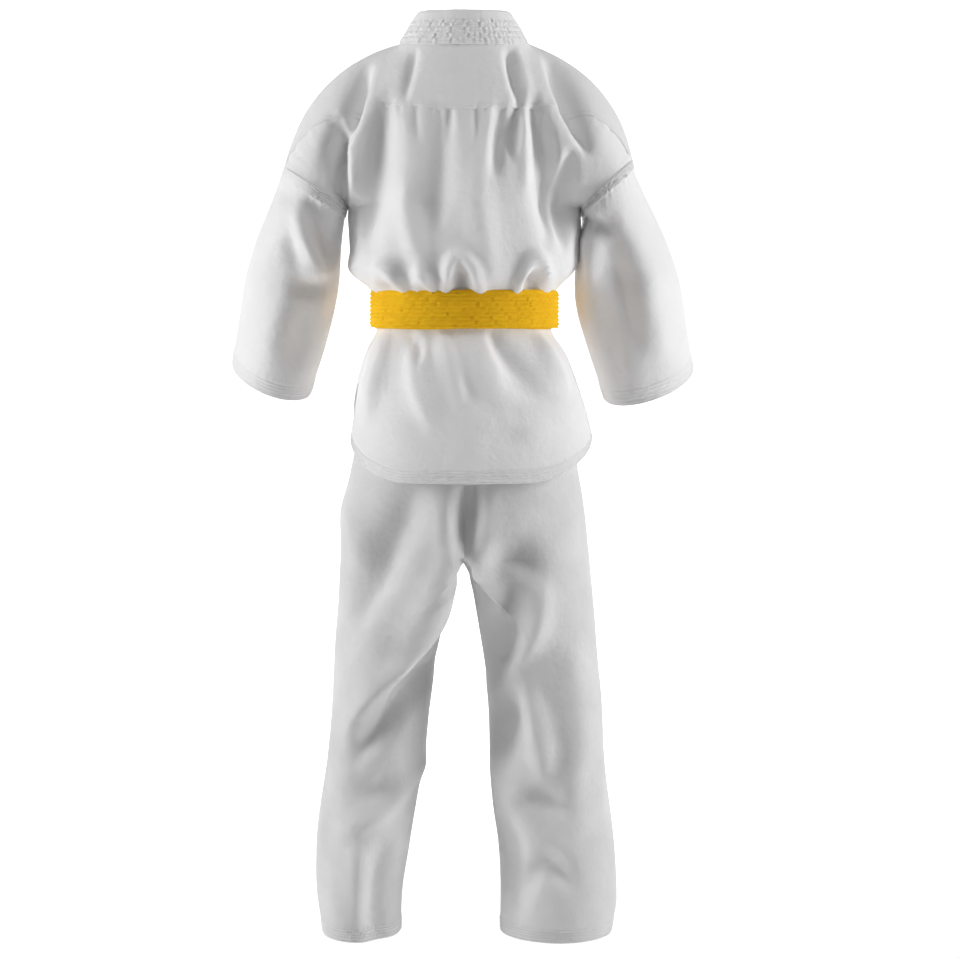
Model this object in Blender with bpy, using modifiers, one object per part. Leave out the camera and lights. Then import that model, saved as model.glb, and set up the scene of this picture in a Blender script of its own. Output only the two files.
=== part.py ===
"""A child's martial arts uniform: a wrap jacket, a tied belt and a pair of trousers.

Metres, Z up. The wearer faces -Y, and the wearer's left is +X. The origin is the middle of the
neck base, where shoulders or a hanger carry the jacket, so nearly everything lies below zero.
Every garment piece is its own closed shell, kept a small gap away from its neighbours.
"""
import math

import bpy
from mathutils import Matrix, Vector

# ---------------------------------------------------------------- driving sizes
CLOTH = 0.0016  # one thickness of the cotton drill
GAP = 0.0003  # left between pieces that touch
LAYER = CLOTH + 2.0 * GAP  # one piece of cloth lying inside another
SEAM_SHARE = 0.0065  # share of a panel's width left free along a side seam
HEM = 0.014  # turned up at every hem
BAND = 0.034  # width of the collar and lapel band

NECK_HALF = 0.066
NECK_BACK = 0.046
NECK_FRONT = 0.040
NECK_DROP = 0.030  # how much lower the front of the neck line is
COLLAR_TOP_HALF = 0.046
COLLAR_RISE = 0.036

UNDERARM = -0.165
BELT_TOP = -0.254
BELT_BOTTOM = -0.293
VENT_TOP = -0.345
JACKET_HEM = -0.450
VENT_CORNER = 0.034  # radius of the rounded corners of the back hem
VENT_OPENING = 0.09  # how far the back panel stands off the side line at the hem

SHOULDER_TIP = Vector((0.176, 0.0, -0.118))
SHOULDER_BEND = Vector((0.155, 0.0, -0.030))
ARMHOLE_DEPTH = 0.050
ARMHOLE_BAND = 0.10  # share of the sleeve length taken by the stitched armhole band
CUFF_CENTRE = Vector((0.201, -0.075, -0.344))
CUFF_ACROSS = Vector((0.0425, 0.0, 0.0157))
CUFF_DEEP = Vector((0.0, 0.048, -0.020))

BELT_CLOTH = 0.0036
BELT_WIDTH = BELT_TOP - BELT_BOTTOM
BELT_END_LENGTH = 0.190
BELT_END_SPREAD = math.radians(17)
KNOT_SIZE = Vector((0.048, 0.020, 0.046))

WAISTBAND_TOP = -0.213
WAISTBAND_BOTTOM = -0.247
CROTCH = -0.530
HIP_FOLD_BOTTOM = -0.570
TROUSER_HEM = -0.934

# height, half width and half depth of the jacket's outer face
JACKET_SECTIONS = (
    (UNDERARM, 0.122, 0.084),
    (-0.212, 0.119, 0.086),
    (-0.240, 0.110, 0.082),
    (BELT_TOP + 0.001, 0.0895, 0.0695),
    (BELT_BOTTOM - 0.001, 0.0895, 0.0695),
    (VENT_TOP, 0.108, 0.085),
    (JACKET_HEM, 0.126, 0.097),
)
# height, half width and half depth of the trousers down to the crotch
SEAT_SECTIONS = (
    (WAISTBAND_TOP, 0.0805, 0.0605),
    (BELT_BOTTOM, 0.0810, 0.0610),
    (VENT_TOP, 0.0985, 0.0750),
    (JACKET_HEM, 0.1175, 0.0880),
    (CROTCH, 0.1310, 0.0880),
)
# height, outer side, inner side and half depth of one trouser leg
LEG_SECTIONS = (
    (CROTCH, 0.1310, 0.0030, 0.0880),
    (HIP_FOLD_BOTTOM, 0.1325, 0.0110, 0.0850),
    (-0.640, 0.1370, 0.0210, 0.0740),
    (-0.760, 0.1480, 0.0340, 0.0640),
    (-0.850, 0.1575, 0.0440, 0.0600),
    (TROUSER_HEM, 0.1520, 0.0500, 0.0560),
)
# place up the front (see body_point), and where the lapel seam lies across it
LAPEL_SEAM = ((1.0, 0.42), (0.0, 0.02), (-0.34, -0.20), (-1.0, -0.30))
# shares of a panel's own width or height
SEAM_GAP = 0.003
PANEL_TOP = 0.985
CORNER_SHARE = 0.93
MOST_LIFT = 0.55
# where the right front starts to pass under the left one, and how gently
LAP_START = 0.42
LAP_RAMP = 0.30
# height up the front, from underarm to neck, where the lapel starts turning up into the collar
TURN_START = 0.45
# the collar and lapel band is folded double
BAND_CLOTH = 0.0030
GUSSET_TIP = 0.003
GUSSET_HALF = 0.020


# ---------------------------------------------------------------- scene and materials
def clear_scene():
    for thing in list(bpy.data.objects):
        bpy.data.objects.remove(thing, do_unlink=True)


def fabric(name, colour, roughness):
    made = bpy.data.materials.new(name)
    made.use_nodes = True
    shader = made.node_tree.nodes["Principled BSDF"]
    shader.inputs["Base Color"].default_value = (*colour, 1.0)
    shader.inputs["Roughness"].default_value = roughness
    shader.inputs["Metallic"].default_value = 0.0
    return made


# ---------------------------------------------------------------- shared geometry
def ease(share):
    share = min(max(share, 0.0), 1.0)
    return share * share * (3.0 - 2.0 * share)


def spread(first, last, count):
    """Evenly spaced values, both ends included."""
    return [first + (last - first) * i / (count - 1) for i in range(count)]


def through(stations, place):
    """The smooth curve through rows of (place, value, ...), listed from high to low place."""
    last = len(stations) - 2
    row = next((i for i in range(last) if place >= stations[i + 1][0]), last)
    upper, lower = stations[row], stations[row + 1]
    before, after = stations[max(row - 1, 0)], stations[min(row + 2, last + 1)]
    run = lower[0] - upper[0]
    t = min(max((place - upper[0]) / run, 0.0), 1.0)
    values = []
    for a, b, c, d in zip(before[1:], upper[1:], lower[1:], after[1:]):
        rise = c - b
        start = (c - a) * run / (lower[0] - before[0])
        end = (d - b) * run / (after[0] - upper[0])
        if (b - a) * rise <= 0.0:
            start = 0.0
        if (d - c) * rise <= 0.0:
            end = 0.0
        bend = 3.0 * rise - 2.0 * start - end
        values.append(b + t * (start + t * (bend + t * (start + end - 2.0 * rise))))
    return values


def arch(start, control, end, t):
    """A quadratic curve."""
    return start * (1.0 - t) ** 2 + control * 2.0 * t * (1.0 - t) + end * t * t


def inset(surface, depth, u, v):
    """A point that lies depth inside a surface, measured along the surface's own normal."""
    step = 0.004
    here = surface(u, v)
    across = surface(u + step, v) - surface(u - step, v)
    along = surface(u, v + step) - surface(u, v - step)
    normal = across.cross(along).normalized()
    outward = Vector((here.x, here.y, 0.0))
    if normal.dot(outward) < 0.0:
        normal.negate()
    return here - normal * depth


def shell(name, point, columns, rows, cloth, thickness=CLOTH, ring=False, inside=None):
    """A closed shell: the outer face is point(column, row), and Solidify thickens it inward."""
    vertices = [point(column, row) for row in rows for column in columns]
    wide = len(columns)
    steps = wide if ring else wide - 1
    faces = []
    for j in range(len(rows) - 1):
        for i in range(steps):
            k = (i + 1) % wide
            faces.append((j * wide + i, j * wide + k, (j + 1) * wide + k, (j + 1) * wide + i))
    middle = faces[len(faces) // 2]
    a, b, c, d = (vertices[i] for i in middle)
    centre = inside if inside is not None else Vector((0.0, 0.0, a.z))
    if (b - a).cross(d - a).dot(a - centre) < 0.0:
        faces = [face[::-1] for face in faces]
    mesh = bpy.data.meshes.new(name)
    mesh.from_pydata(vertices, [], faces)
    mesh.shade_smooth()
    made = bpy.data.objects.new(name, mesh)
    thick = made.modifiers.new("Thickness", "SOLIDIFY")
    thick.thickness = thickness
    thick.offset = -1.0
    thick.use_even_offset = True
    return finish(made, cloth)


def finish(made, cloth):
    made.data.materials.append(cloth)
    uniform.objects.link(made)
    return made


def put_origin(made, pivot):
    """Move an object's origin to the axis that it turns about, leaving its shape where it is."""
    made.data.transform(Matrix.Translation(-pivot))
    made.location = pivot
    return made


# ---------------------------------------------------------------- jacket body surface
def tube_point(front, p, height):
    """The jacket below the underarm. p is 0 at the middle and 1 or -1 at the side lines."""
    half_width, half_depth = through(JACKET_SECTIONS, height)
    angle = p * math.pi / 2.0
    y = half_depth * math.cos(angle)
    return Vector((half_width * math.sin(angle), -y if front else y, height))


def neck_and_shoulder(front, u):
    """The top edge: the neck line from the middle to the neck side, then the shoulder."""
    neck_share = LAPEL_SEAM[0][1]
    if u < neck_share:
        turn = u / neck_share * math.pi / 2.0
        depth = -NECK_FRONT if front else NECK_BACK
        drop = -NECK_DROP * math.cos(turn) if front else 0.0
        return Vector((NECK_HALF * math.sin(turn), depth * math.cos(turn), drop))
    along = (u - neck_share) / (1.0 - neck_share)
    return arch(Vector((NECK_HALF, 0.0, 0.0)), SHOULDER_BEND, SHOULDER_TIP, along)


def armhole_edge(front, v):
    """Half of the armhole, from the underarm up to the shoulder tip."""
    side = -1.0 if front else 1.0
    low = tube_point(front, 1.0, UNDERARM)
    half = (SHOULDER_TIP - low) * 0.5
    turn = math.pi * v
    bulge = Vector((0.0, side * ARMHOLE_DEPTH * math.sin(turn), 0.0))
    return low + half * (1.0 - math.cos(turn)) + bulge


def upper_point(front, p, v):
    """The jacket above the underarm: a patch blended from its four edges."""
    u = abs(p)
    low_middle = tube_point(front, 0.0, UNDERARM)
    top_middle = neck_and_shoulder(front, 0.0)
    bend = Vector((0.0, low_middle.y * 1.05, top_middle.z + 0.4 * (low_middle.z - top_middle.z)))
    middle = arch(low_middle, bend, top_middle, v)
    low_side = armhole_edge(front, 0.0)
    top_side = armhole_edge(front, 1.0)
    rows = tube_point(front, u, UNDERARM) * (1.0 - v) + neck_and_shoulder(front, u) * v
    columns = middle * (1.0 - u) + armhole_edge(front, v) * u
    low = low_middle * (1.0 - u) + low_side * u
    high = top_middle * (1.0 - u) + top_side * u
    found = rows + columns - low * (1.0 - v) - high * v
    if p < 0.0:
        found.x = -found.x
    return found


def body_point(front, p, t):
    """The whole jacket body: t runs from -1 at the hem, over 0 at the underarm, to 1 on top."""
    if t < 0.0:
        return tube_point(front, p, UNDERARM + t * (UNDERARM - JACKET_HEM))
    return upper_point(front, p, t)


def level(height):
    """The place t of a height below the underarm."""
    return (height - UNDERARM) / (UNDERARM - JACKET_HEM)


def back_surface(p, t):
    return body_point(False, p, t)


def front_surface(p, t):
    return body_point(True, p, t)


VENT_ROWS = [level(h) for h in spread(JACKET_HEM, VENT_TOP, 5)]
SKIRT_ROWS = VENT_ROWS + [level(h) for h in spread(VENT_TOP, BELT_BOTTOM - 0.001, 4)[1:]]
BLOUSE_ROWS = [level(h) for h in spread(BELT_TOP + 0.001, UNDERARM, 6)]
CHEST_ROWS = spread(0.0, 1.0, 7)[1:]
BACK_COLUMNS = spread(-1.0, 1.0, 19)
FRONT_COLUMNS = spread(0.0, 1.0, 13)


def yoke_seam(p):
    """The yoke seam runs level across the back, so it climbs through the patch at the sides."""
    return 0.555 + 0.35 * p * p


def back_edge(t):
    """How far the back panel reaches towards the side line, in t below the vents."""
    drop = (level(VENT_TOP) - t) / (level(VENT_TOP) + 1.0)
    return 1.0 - SEAM_SHARE - VENT_OPENING * ease(drop)


def hem_lift(p):
    """The rounded lower corners of the back panel."""
    quarter = tube_point(False, 1.0, JACKET_HEM).x * math.pi / 2.0
    into = VENT_CORNER - (1.0 - abs(p)) * quarter * CORNER_SHARE
    if into <= 0.0:
        return 0.0
    into = min(into, VENT_CORNER)
    return VENT_CORNER - math.sqrt(VENT_CORNER**2 - into**2)


def back_place(share, t):
    """Turn a share of the panel's width into a place on the back surface, above the hem curve."""
    p = share * back_edge(t)
    if t < level(VENT_TOP):
        left = (t + 1.0) / (level(VENT_TOP) + 1.0)
        lift = hem_lift(share) / (UNDERARM - JACKET_HEM)
        lift = min(lift, MOST_LIFT * (level(VENT_TOP) + 1.0))
        low = -1.0 + lift
        t = low + left * (level(VENT_TOP) - low)
    return p, t


# ---------------------------------------------------------------- jacket pieces
def jacket_back(cloth):
    def point(share, t):
        if t <= 0.0:
            return back_surface(*back_place(share, t))
        p = share * back_edge(0.0)
        return back_surface(p, t * (yoke_seam(p) - SEAM_GAP))

    rows = SKIRT_ROWS + BLOUSE_ROWS + spread(0.0, 1.0, 5)[1:]
    return shell("jacket_back", point, BACK_COLUMNS, rows, cloth)


def back_yoke(cloth):
    def point(share, v):
        p = share * back_edge(0.0)
        low = yoke_seam(p) + SEAM_GAP
        return back_surface(p, low + v * (PANEL_TOP - low))

    return shell("back_yoke", point, BACK_COLUMNS, spread(0.0, 1.0, 4), cloth)


def back_hem_facing(cloth):
    def point(share, up):
        p, t = back_place(share, -1.0)
        t += up * HEM / (UNDERARM - JACKET_HEM)
        return inset(back_surface, LAYER + GAP, p, t)

    return shell("back_hem_facing", point, BACK_COLUMNS, spread(0.03, 1.0, 3), cloth)


def vent_facing(name, side, cloth):
    def point(share, t):
        return inset(back_surface, LAYER, *back_place(side * share, t))

    return shell(name, point, BACK_COLUMNS[-2:], VENT_ROWS[1:], cloth)


def lapel_seam(t):
    return through(LAPEL_SEAM, t)[0]


def band_span(t):
    """The lapel band's width as a share of the quarter girth that it lies across."""
    if t > 0.0:
        return BAND / (0.103 * math.pi / 2.0)
    half_width, half_depth = through(JACKET_SECTIONS, UNDERARM + t * (UNDERARM - JACKET_HEM))
    return BAND / ((half_width + half_depth) * math.pi / 4.0)


def front_inset(side, p, t):
    """The right front lies two layers deep where the left front laps over it."""
    if side > 0.0:
        return 0.0
    lap = lapel_seam(t) - band_span(t)
    return 2.0 * LAYER * ease((p - lap + LAP_START) / LAP_RAMP)


def front_point(side, own_p, t, extra=0.0):
    """A place on one front. own_p is positive on the front's own side of the middle."""
    p = side * own_p
    depth = front_inset(side, p, t) + extra
    if depth == 0.0:
        return front_surface(p, t)
    return inset(front_surface, depth, p, t)


def jacket_front(name, side, cloth):
    def point(share, t):
        low = lapel_seam(t) + 0.006
        own_p = low + share * (1.0 - SEAM_SHARE - low)
        return front_point(side, own_p, min(t, PANEL_TOP))

    rows = SKIRT_ROWS + BLOUSE_ROWS + CHEST_ROWS
    return shell(name, point, FRONT_COLUMNS, rows, cloth)


def front_hem_facing(name, side, cloth):
    def point(share, t):
        low = lapel_seam(t) + 0.006
        own_p = low + share * (1.0 - SEAM_SHARE - low)
        return front_point(side, own_p, t, LAYER)

    top = -1.0 + HEM / (UNDERARM - JACKET_HEM)
    return shell(name, point, FRONT_COLUMNS, spread(-0.998, top, 2), cloth)


def collar_point(turn, up):
    """The band standing round the back of the neck. turn is 1 or -1 at the neck sides."""
    angle = turn * math.pi / 2.0
    half = NECK_HALF + (COLLAR_TOP_HALF - NECK_HALF) * up
    deep = NECK_BACK + 0.002 - 0.006 * up
    rise = COLLAR_RISE * up + 0.0012
    return Vector((half * math.sin(angle), deep * math.cos(angle), rise))


def collar_band(cloth):
    ends = PANEL_TOP
    columns = spread(-ends, ends, 17)
    return shell(
        "collar_neck_band",
        collar_point,
        columns,
        spread(0.0, 1.0, 4),
        cloth,
        thickness=BAND_CLOTH,
        inside=Vector((0.0, 0.0, 0.03)),
    )


def lapel(name, side, cloth):
    """The band goes on from the collar, turns over onto the chest and runs to the hem."""

    def point(across, t):
        seam = lapel_seam(t)
        span = band_span(t)
        flat = front_point(side, seam - 0.002 - across * span, t)
        turned = ease((t - TURN_START) / (1.0 - TURN_START))
        if turned == 0.0:
            return flat
        standing = collar_point(side, across)
        standing.y -= 0.0015
        low = front_point(side, seam - 0.002, t)
        lifted = low + (standing - collar_point(side, 0.0)) + Vector((0.0, 0.0, 0.002))
        return flat.lerp(lifted, turned)

    rows = SKIRT_ROWS + BLOUSE_ROWS + CHEST_ROWS
    return shell(name, point, spread(0.0, 1.0, 4), rows, cloth)


# ---------------------------------------------------------------- sleeves
def sleeve_point(side, turn, along, depth=0.0):
    """A place on a sleeve: turn in radians round it, along from 0 (armhole) to 1 (cuff)."""
    low = tube_point(False, 1.0, UNDERARM)
    hole_centre = (low + SHOULDER_TIP) * 0.5
    hole_across = (SHOULDER_TIP - low) * 0.5
    hole_deep = Vector((0.0, ARMHOLE_DEPTH, 0.0))
    elbow = Vector((hole_centre.x + 0.024, -0.018, hole_centre.z - 0.080))
    centre = arch(hole_centre, elbow, CUFF_CENTRE, along)
    opened = ease(along * 1.6)
    across = hole_across.lerp(CUFF_ACROSS, opened)
    deep = hole_deep.lerp(CUFF_DEEP, ease(along))
    across *= 1.0 - depth / across.length
    deep *= 1.0 - depth / deep.length
    found = centre + across * math.cos(turn) + deep * math.sin(turn)
    found.x *= side
    return found


def sleeve_ring(name, side, start, end, rows, cloth, depth=0.0):
    def point(turn, along):
        return sleeve_point(side, turn, along, depth)

    middle = (sleeve_point(side, 0.0, start) + sleeve_point(side, math.pi, end)) * 0.5
    turns = spread(0.0, 2.0 * math.pi, 21)[:-1]
    return shell(name, point, turns, spread(start, end, rows), cloth, ring=True, inside=middle)


def shoulder_pivot(side):
    return Vector((side * SHOULDER_TIP.x, 0.0, SHOULDER_TIP.z))


def sleeves(cloth, band_cloth):
    for label, side in (("left", 1.0), ("right", -1.0)):
        pivot = shoulder_pivot(side)
        sleeve_ring(f"armhole_band_{label}", side, 0.012, ARMHOLE_BAND, 2, band_cloth)
        start = ARMHOLE_BAND + 0.004
        put_origin(sleeve_ring(f"sleeve_{label}", side, start, 1.0, 8, cloth), pivot)
        facing = sleeve_ring(f"cuff_facing_{label}", side, 0.935, 0.999, 2, cloth, LAYER)
        put_origin(facing, pivot)


# ---------------------------------------------------------------- belt
def belt_wrap(name, layer, cloth):
    half_width, half_depth = through(JACKET_SECTIONS, (BELT_TOP + BELT_BOTTOM) / 2.0)
    out = (layer + 1) * BELT_CLOTH + (layer + 1) * GAP + 0.0004

    def point(turn, height):
        bow = 0.0006 * math.sin(math.pi * (height - BELT_BOTTOM) / BELT_WIDTH)
        x = (half_width + out + bow) * math.sin(turn)
        y = (half_depth + out + bow) * math.cos(turn)
        return Vector((x, y, height))

    turns = spread(0.0, 2.0 * math.pi, 37)[:-1]
    rows = spread(BELT_BOTTOM, BELT_TOP, 3)
    return shell(name, point, turns, rows, cloth, thickness=BELT_CLOTH, ring=True)


def knot_centre():
    _, half_depth = through(JACKET_SECTIONS, (BELT_TOP + BELT_BOTTOM) / 2.0)
    front = half_depth + 2.0 * (BELT_CLOTH + GAP) + 0.0018
    return Vector((0.0, -front - KNOT_SIZE.y / 2.0, (BELT_TOP + BELT_BOTTOM) / 2.0))


def belt_knot(cloth):
    """The flat knot at the front, a soft block a little narrower on top."""
    bpy.ops.mesh.primitive_cube_add(size=1.0, location=knot_centre())
    made = bpy.context.object
    made.name = "belt_knot"
    for vertex in made.data.vertices:
        narrow = 0.80 if vertex.co.z > 0.0 else 1.0
        vertex.co.x *= KNOT_SIZE.x * narrow
        vertex.co.y *= KNOT_SIZE.y
        vertex.co.z *= KNOT_SIZE.z
    rounded = made.modifiers.new("Rounded", "BEVEL")
    rounded.width = 0.0075
    rounded.segments = 4
    made.data.shade_smooth()
    for collection in list(made.users_collection):
        collection.objects.unlink(made)
    return finish(made, cloth)


def belt_end(name, side, cloth):
    """One free end: it leaves the knot's lower edge and lies down the front skirt."""
    knot = knot_centre()
    root = Vector((side * 0.026, knot.y + 0.004, knot.z - KNOT_SIZE.z / 2.0 - 0.0006))
    _, waist_depth = through(JACKET_SECTIONS, BELT_BOTTOM - 0.001)
    _, hem_depth = through(JACKET_SECTIONS, JACKET_HEM)
    lean = math.atan2(hem_depth - waist_depth, BELT_BOTTOM - JACKET_HEM)

    def point(across, along):
        x = across * BELT_WIDTH / 2.0
        down = along * BELT_END_LENGTH
        sideways = x * math.cos(BELT_END_SPREAD) + down * math.sin(BELT_END_SPREAD)
        drop = down * math.cos(BELT_END_SPREAD) - x * math.sin(BELT_END_SPREAD)
        drop = max(drop, 0.0)
        lap = 0.0050 if side > 0.0 else 0.0
        y = root.y - lap - drop * math.sin(lean)
        return Vector((side * (root.x * side + sideways - 0.010), y, root.z - drop * math.cos(lean)))

    behind = Vector((root.x, 0.0, root.z))
    made = shell(
        name,
        point,
        spread(-1.0, 1.0, 3),
        spread(0.07, 1.0, 9),
        cloth,
        thickness=BELT_CLOTH,
        inside=behind,
    )
    return put_origin(made, root)


def belt(cloth):
    belt_wrap("belt_inner_wrap", 0, cloth)
    belt_wrap("belt_outer_wrap", 1, cloth)
    belt_knot(cloth)
    belt_end("belt_end_left", 1.0, cloth)
    belt_end("belt_end_right", -1.0, cloth)


# ---------------------------------------------------------------- trousers
def seat_point(turn, height, depth=0.0):
    half_width, half_depth = through(SEAT_SECTIONS, height)
    x = (half_width - depth) * math.sin(turn)
    return Vector((x, (half_depth - depth) * math.cos(turn), height))


def trouser_waistband(cloth):
    turns = spread(0.0, 2.0 * math.pi, 29)[:-1]
    rows = spread(WAISTBAND_BOTTOM, WAISTBAND_TOP, 2)
    thickness = 2.0 * CLOTH + 0.0006
    return shell("trouser_waistband", seat_point, turns, rows, cloth, thickness, ring=True)


def trouser_seat(name, side, cloth):
    def point(share, height):
        turn = side * (0.004 + share * (math.pi - 0.008))
        return seat_point(turn, height)

    rows = spread(CROTCH + GAP, WAISTBAND_BOTTOM - GAP, 9)
    return shell(name, point, spread(0.0, 1.0, 15), rows, cloth)


def crotch_gusset(cloth):
    """The diamond of cloth that joins the two legs under the seat."""
    _, half_depth = through(SEAT_SECTIONS, CROTCH)
    reach = half_depth - CLOTH - 2.0 * GAP - 0.0005

    def point(across, along):
        half = GUSSET_TIP + (GUSSET_HALF - GUSSET_TIP) * (1.0 - along * along)
        return Vector((across * half, along * reach, CROTCH + 2.0 * GAP + CLOTH))

    below = Vector((0.0, 0.0, CROTCH - 0.1))
    columns = spread(-1.0, 1.0, 5)
    return shell("crotch_gusset", point, columns, spread(-1.0, 1.0, 9), cloth, inside=below)


def leg_point(side, turn, height, depth=0.0):
    """A leg is the outer half of the seat closed by a flat wall, and turns round lower down."""
    outer, inner, half_depth = through(LEG_SECTIONS, height)
    outer -= depth
    inner += depth
    half_depth -= depth
    rounding = ease((CROTCH - height) / 0.110)
    middle = inner + (outer - inner) * 0.5 * rounding
    reach = outer - middle if math.cos(turn) > 0.0 else middle - inner
    x = middle + reach * math.cos(turn)
    return Vector((side * x, half_depth * math.sin(turn), height))


def leg_ring(name, side, top, bottom, rows, cloth, depth=0.0):
    def point(turn, height):
        return leg_point(side, turn, height, depth)

    middle = Vector((side * 0.09, 0.0, (top + bottom) / 2.0))
    turns = spread(0.0, 2.0 * math.pi, 25)[:-1]
    return shell(name, point, turns, spread(bottom, top, rows), cloth, ring=True, inside=middle)


def hip_pivot(side):
    return Vector((side * 0.072, 0.0, (CROTCH + HIP_FOLD_BOTTOM) / 2.0))


def trouser_legs(cloth):
    for label, side in (("left", 1.0), ("right", -1.0)):
        leg_ring(f"hip_fold_{label}", side, CROTCH - GAP, HIP_FOLD_BOTTOM + GAP, 2, cloth)
        leg = leg_ring(f"trouser_leg_{label}", side, HIP_FOLD_BOTTOM, TROUSER_HEM, 10, cloth)
        put_origin(leg, hip_pivot(side))
        name = f"leg_hem_facing_{label}"
        facing = leg_ring(name, side, TROUSER_HEM + HEM, TROUSER_HEM + GAP, 2, cloth, LAYER)
        put_origin(facing, hip_pivot(side))


# ---------------------------------------------------------------- the uniform
clear_scene()
uniform = bpy.data.collections.new("martial_arts_uniform")
bpy.context.scene.collection.children.link(uniform)

white_drill = fabric("white_cotton_drill", (0.86, 0.87, 0.88), 0.85)
quilted_band = fabric("quilted_white_band", (0.82, 0.83, 0.85), 0.80)
trouser_drill = fabric("white_trouser_drill", (0.84, 0.85, 0.87), 0.85)
yellow_belting = fabric("yellow_quilted_belting", (0.93, 0.57, 0.02), 0.75)

jacket_back(white_drill)
back_yoke(white_drill)
back_hem_facing(quilted_band)
vent_facing("vent_facing_left", 1.0, quilted_band)
vent_facing("vent_facing_right", -1.0, quilted_band)
jacket_front("jacket_front_left", 1.0, white_drill)
jacket_front("jacket_front_right", -1.0, white_drill)
front_hem_facing("front_hem_facing_left", 1.0, quilted_band)
front_hem_facing("front_hem_facing_right", -1.0, quilted_band)
collar_band(quilted_band)
lapel("lapel_left", 1.0, quilted_band)
lapel("lapel_right", -1.0, quilted_band)
sleeves(white_drill, quilted_band)
belt(yellow_belting)
trouser_waistband(trouser_drill)
trouser_seat("trouser_seat_left", 1.0, trouser_drill)
trouser_seat("trouser_seat_right", -1.0, trouser_drill)
crotch_gusset(trouser_drill)
trouser_legs(trouser_drill)
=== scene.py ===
"""The looks of a child's martial arts uniform, seen from behind: wrap jacket, yellow belt, trousers.

Metres, Z up, the wearer faces -Y and the wearer's left is +X. Each garment is worked out as grids
of points ("sheets"), pressed into the folds that the belt, the yoke and the armholes pull in it,
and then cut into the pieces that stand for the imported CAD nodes.
"""
import math

import bpy
import numpy as np
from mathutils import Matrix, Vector, kdtree, noise


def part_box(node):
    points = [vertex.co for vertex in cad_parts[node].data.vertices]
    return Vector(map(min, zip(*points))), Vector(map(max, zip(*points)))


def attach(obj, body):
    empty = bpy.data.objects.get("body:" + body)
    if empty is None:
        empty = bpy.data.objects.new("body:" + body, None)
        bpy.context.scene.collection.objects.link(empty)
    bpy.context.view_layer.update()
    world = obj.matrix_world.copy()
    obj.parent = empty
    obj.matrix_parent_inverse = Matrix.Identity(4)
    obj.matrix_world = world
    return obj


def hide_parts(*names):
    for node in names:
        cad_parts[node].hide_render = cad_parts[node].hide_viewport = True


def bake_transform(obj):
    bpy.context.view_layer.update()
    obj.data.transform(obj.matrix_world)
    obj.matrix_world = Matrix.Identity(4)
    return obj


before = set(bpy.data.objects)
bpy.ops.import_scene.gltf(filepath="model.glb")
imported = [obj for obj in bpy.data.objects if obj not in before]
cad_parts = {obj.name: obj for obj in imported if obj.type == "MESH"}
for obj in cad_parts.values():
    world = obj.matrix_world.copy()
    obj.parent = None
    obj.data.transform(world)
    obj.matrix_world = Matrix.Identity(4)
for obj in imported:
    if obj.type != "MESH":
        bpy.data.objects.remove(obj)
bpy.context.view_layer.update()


# ---------------------------------------------------------------- sizes taken from the frame
def low(node):
    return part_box(node)[0]


def high(node):
    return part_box(node)[1]


BELT_TOP = high("belt_outer_wrap").z
BELT_BOTTOM = low("belt_outer_wrap").z
BELT_HALF_WIDTH = high("belt_outer_wrap").x
BELT_HALF_DEPTH = high("belt_outer_wrap").y
BELT_WIDTH = BELT_TOP - BELT_BOTTOM
JACKET_HEM = low("jacket_back").z
COLLAR_TOP = high("collar_neck_band").z
NECK_HALF = high("collar_neck_band").x
CROTCH = low("trouser_seat_left").z
TROUSER_HEM = low("trouser_leg_left").z
WAIST_TOP = high("trouser_waistband").z
KNOT_LOW, KNOT_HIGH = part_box("belt_knot")

# cloth thickness, and the widths of the stitched hems and of the collar band
CLOTH = 0.0013
HEM = 0.0135
BAND = 0.034
COLLAR_TOP_HALF = 0.046
NECK_BACK = 0.046
NECK_FRONT = 0.040
NECK_DROP = 0.030
NECK_BACK_DROP = 0.005
UNDERARM = -0.168
VENT_TOP = -0.350
CORNER_RISE = 0.040

# height, left half width, right half width, half depth behind, half depth in front
JACKET_SECTIONS = (
    (UNDERARM, 0.1225, 0.1215, 0.082, 0.082),
    (-0.212, 0.1195, 0.1210, 0.085, 0.084),
    (-0.236, 0.1190, 0.1130, 0.085, 0.083),
    (BELT_TOP + 0.004, 0.1010, 0.0980, 0.0770, 0.0765),
    (BELT_BOTTOM, 0.0905, 0.0905, 0.0705, 0.0705),
    (-0.318, 0.0990, 0.1050, 0.0800, 0.0780),
    (VENT_TOP, 0.1085, 0.1180, 0.0880, 0.0850),
    (-0.405, 0.1190, 0.1335, 0.0950, 0.0920),
    (JACKET_HEM, 0.1260, 0.1370, 0.0975, 0.0965),
)
# height, half width, half depth behind, half depth in front
SEAT_SECTIONS = (
    (WAIST_TOP, 0.0805, 0.0605, 0.0605),
    (BELT_BOTTOM, 0.0815, 0.0615, 0.0615),
    (VENT_TOP, 0.0970, 0.0760, 0.0740),
    (JACKET_HEM, 0.1215, 0.0890, 0.0870),
    (CROTCH, 0.1310, 0.0880, 0.0860),
)
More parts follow.
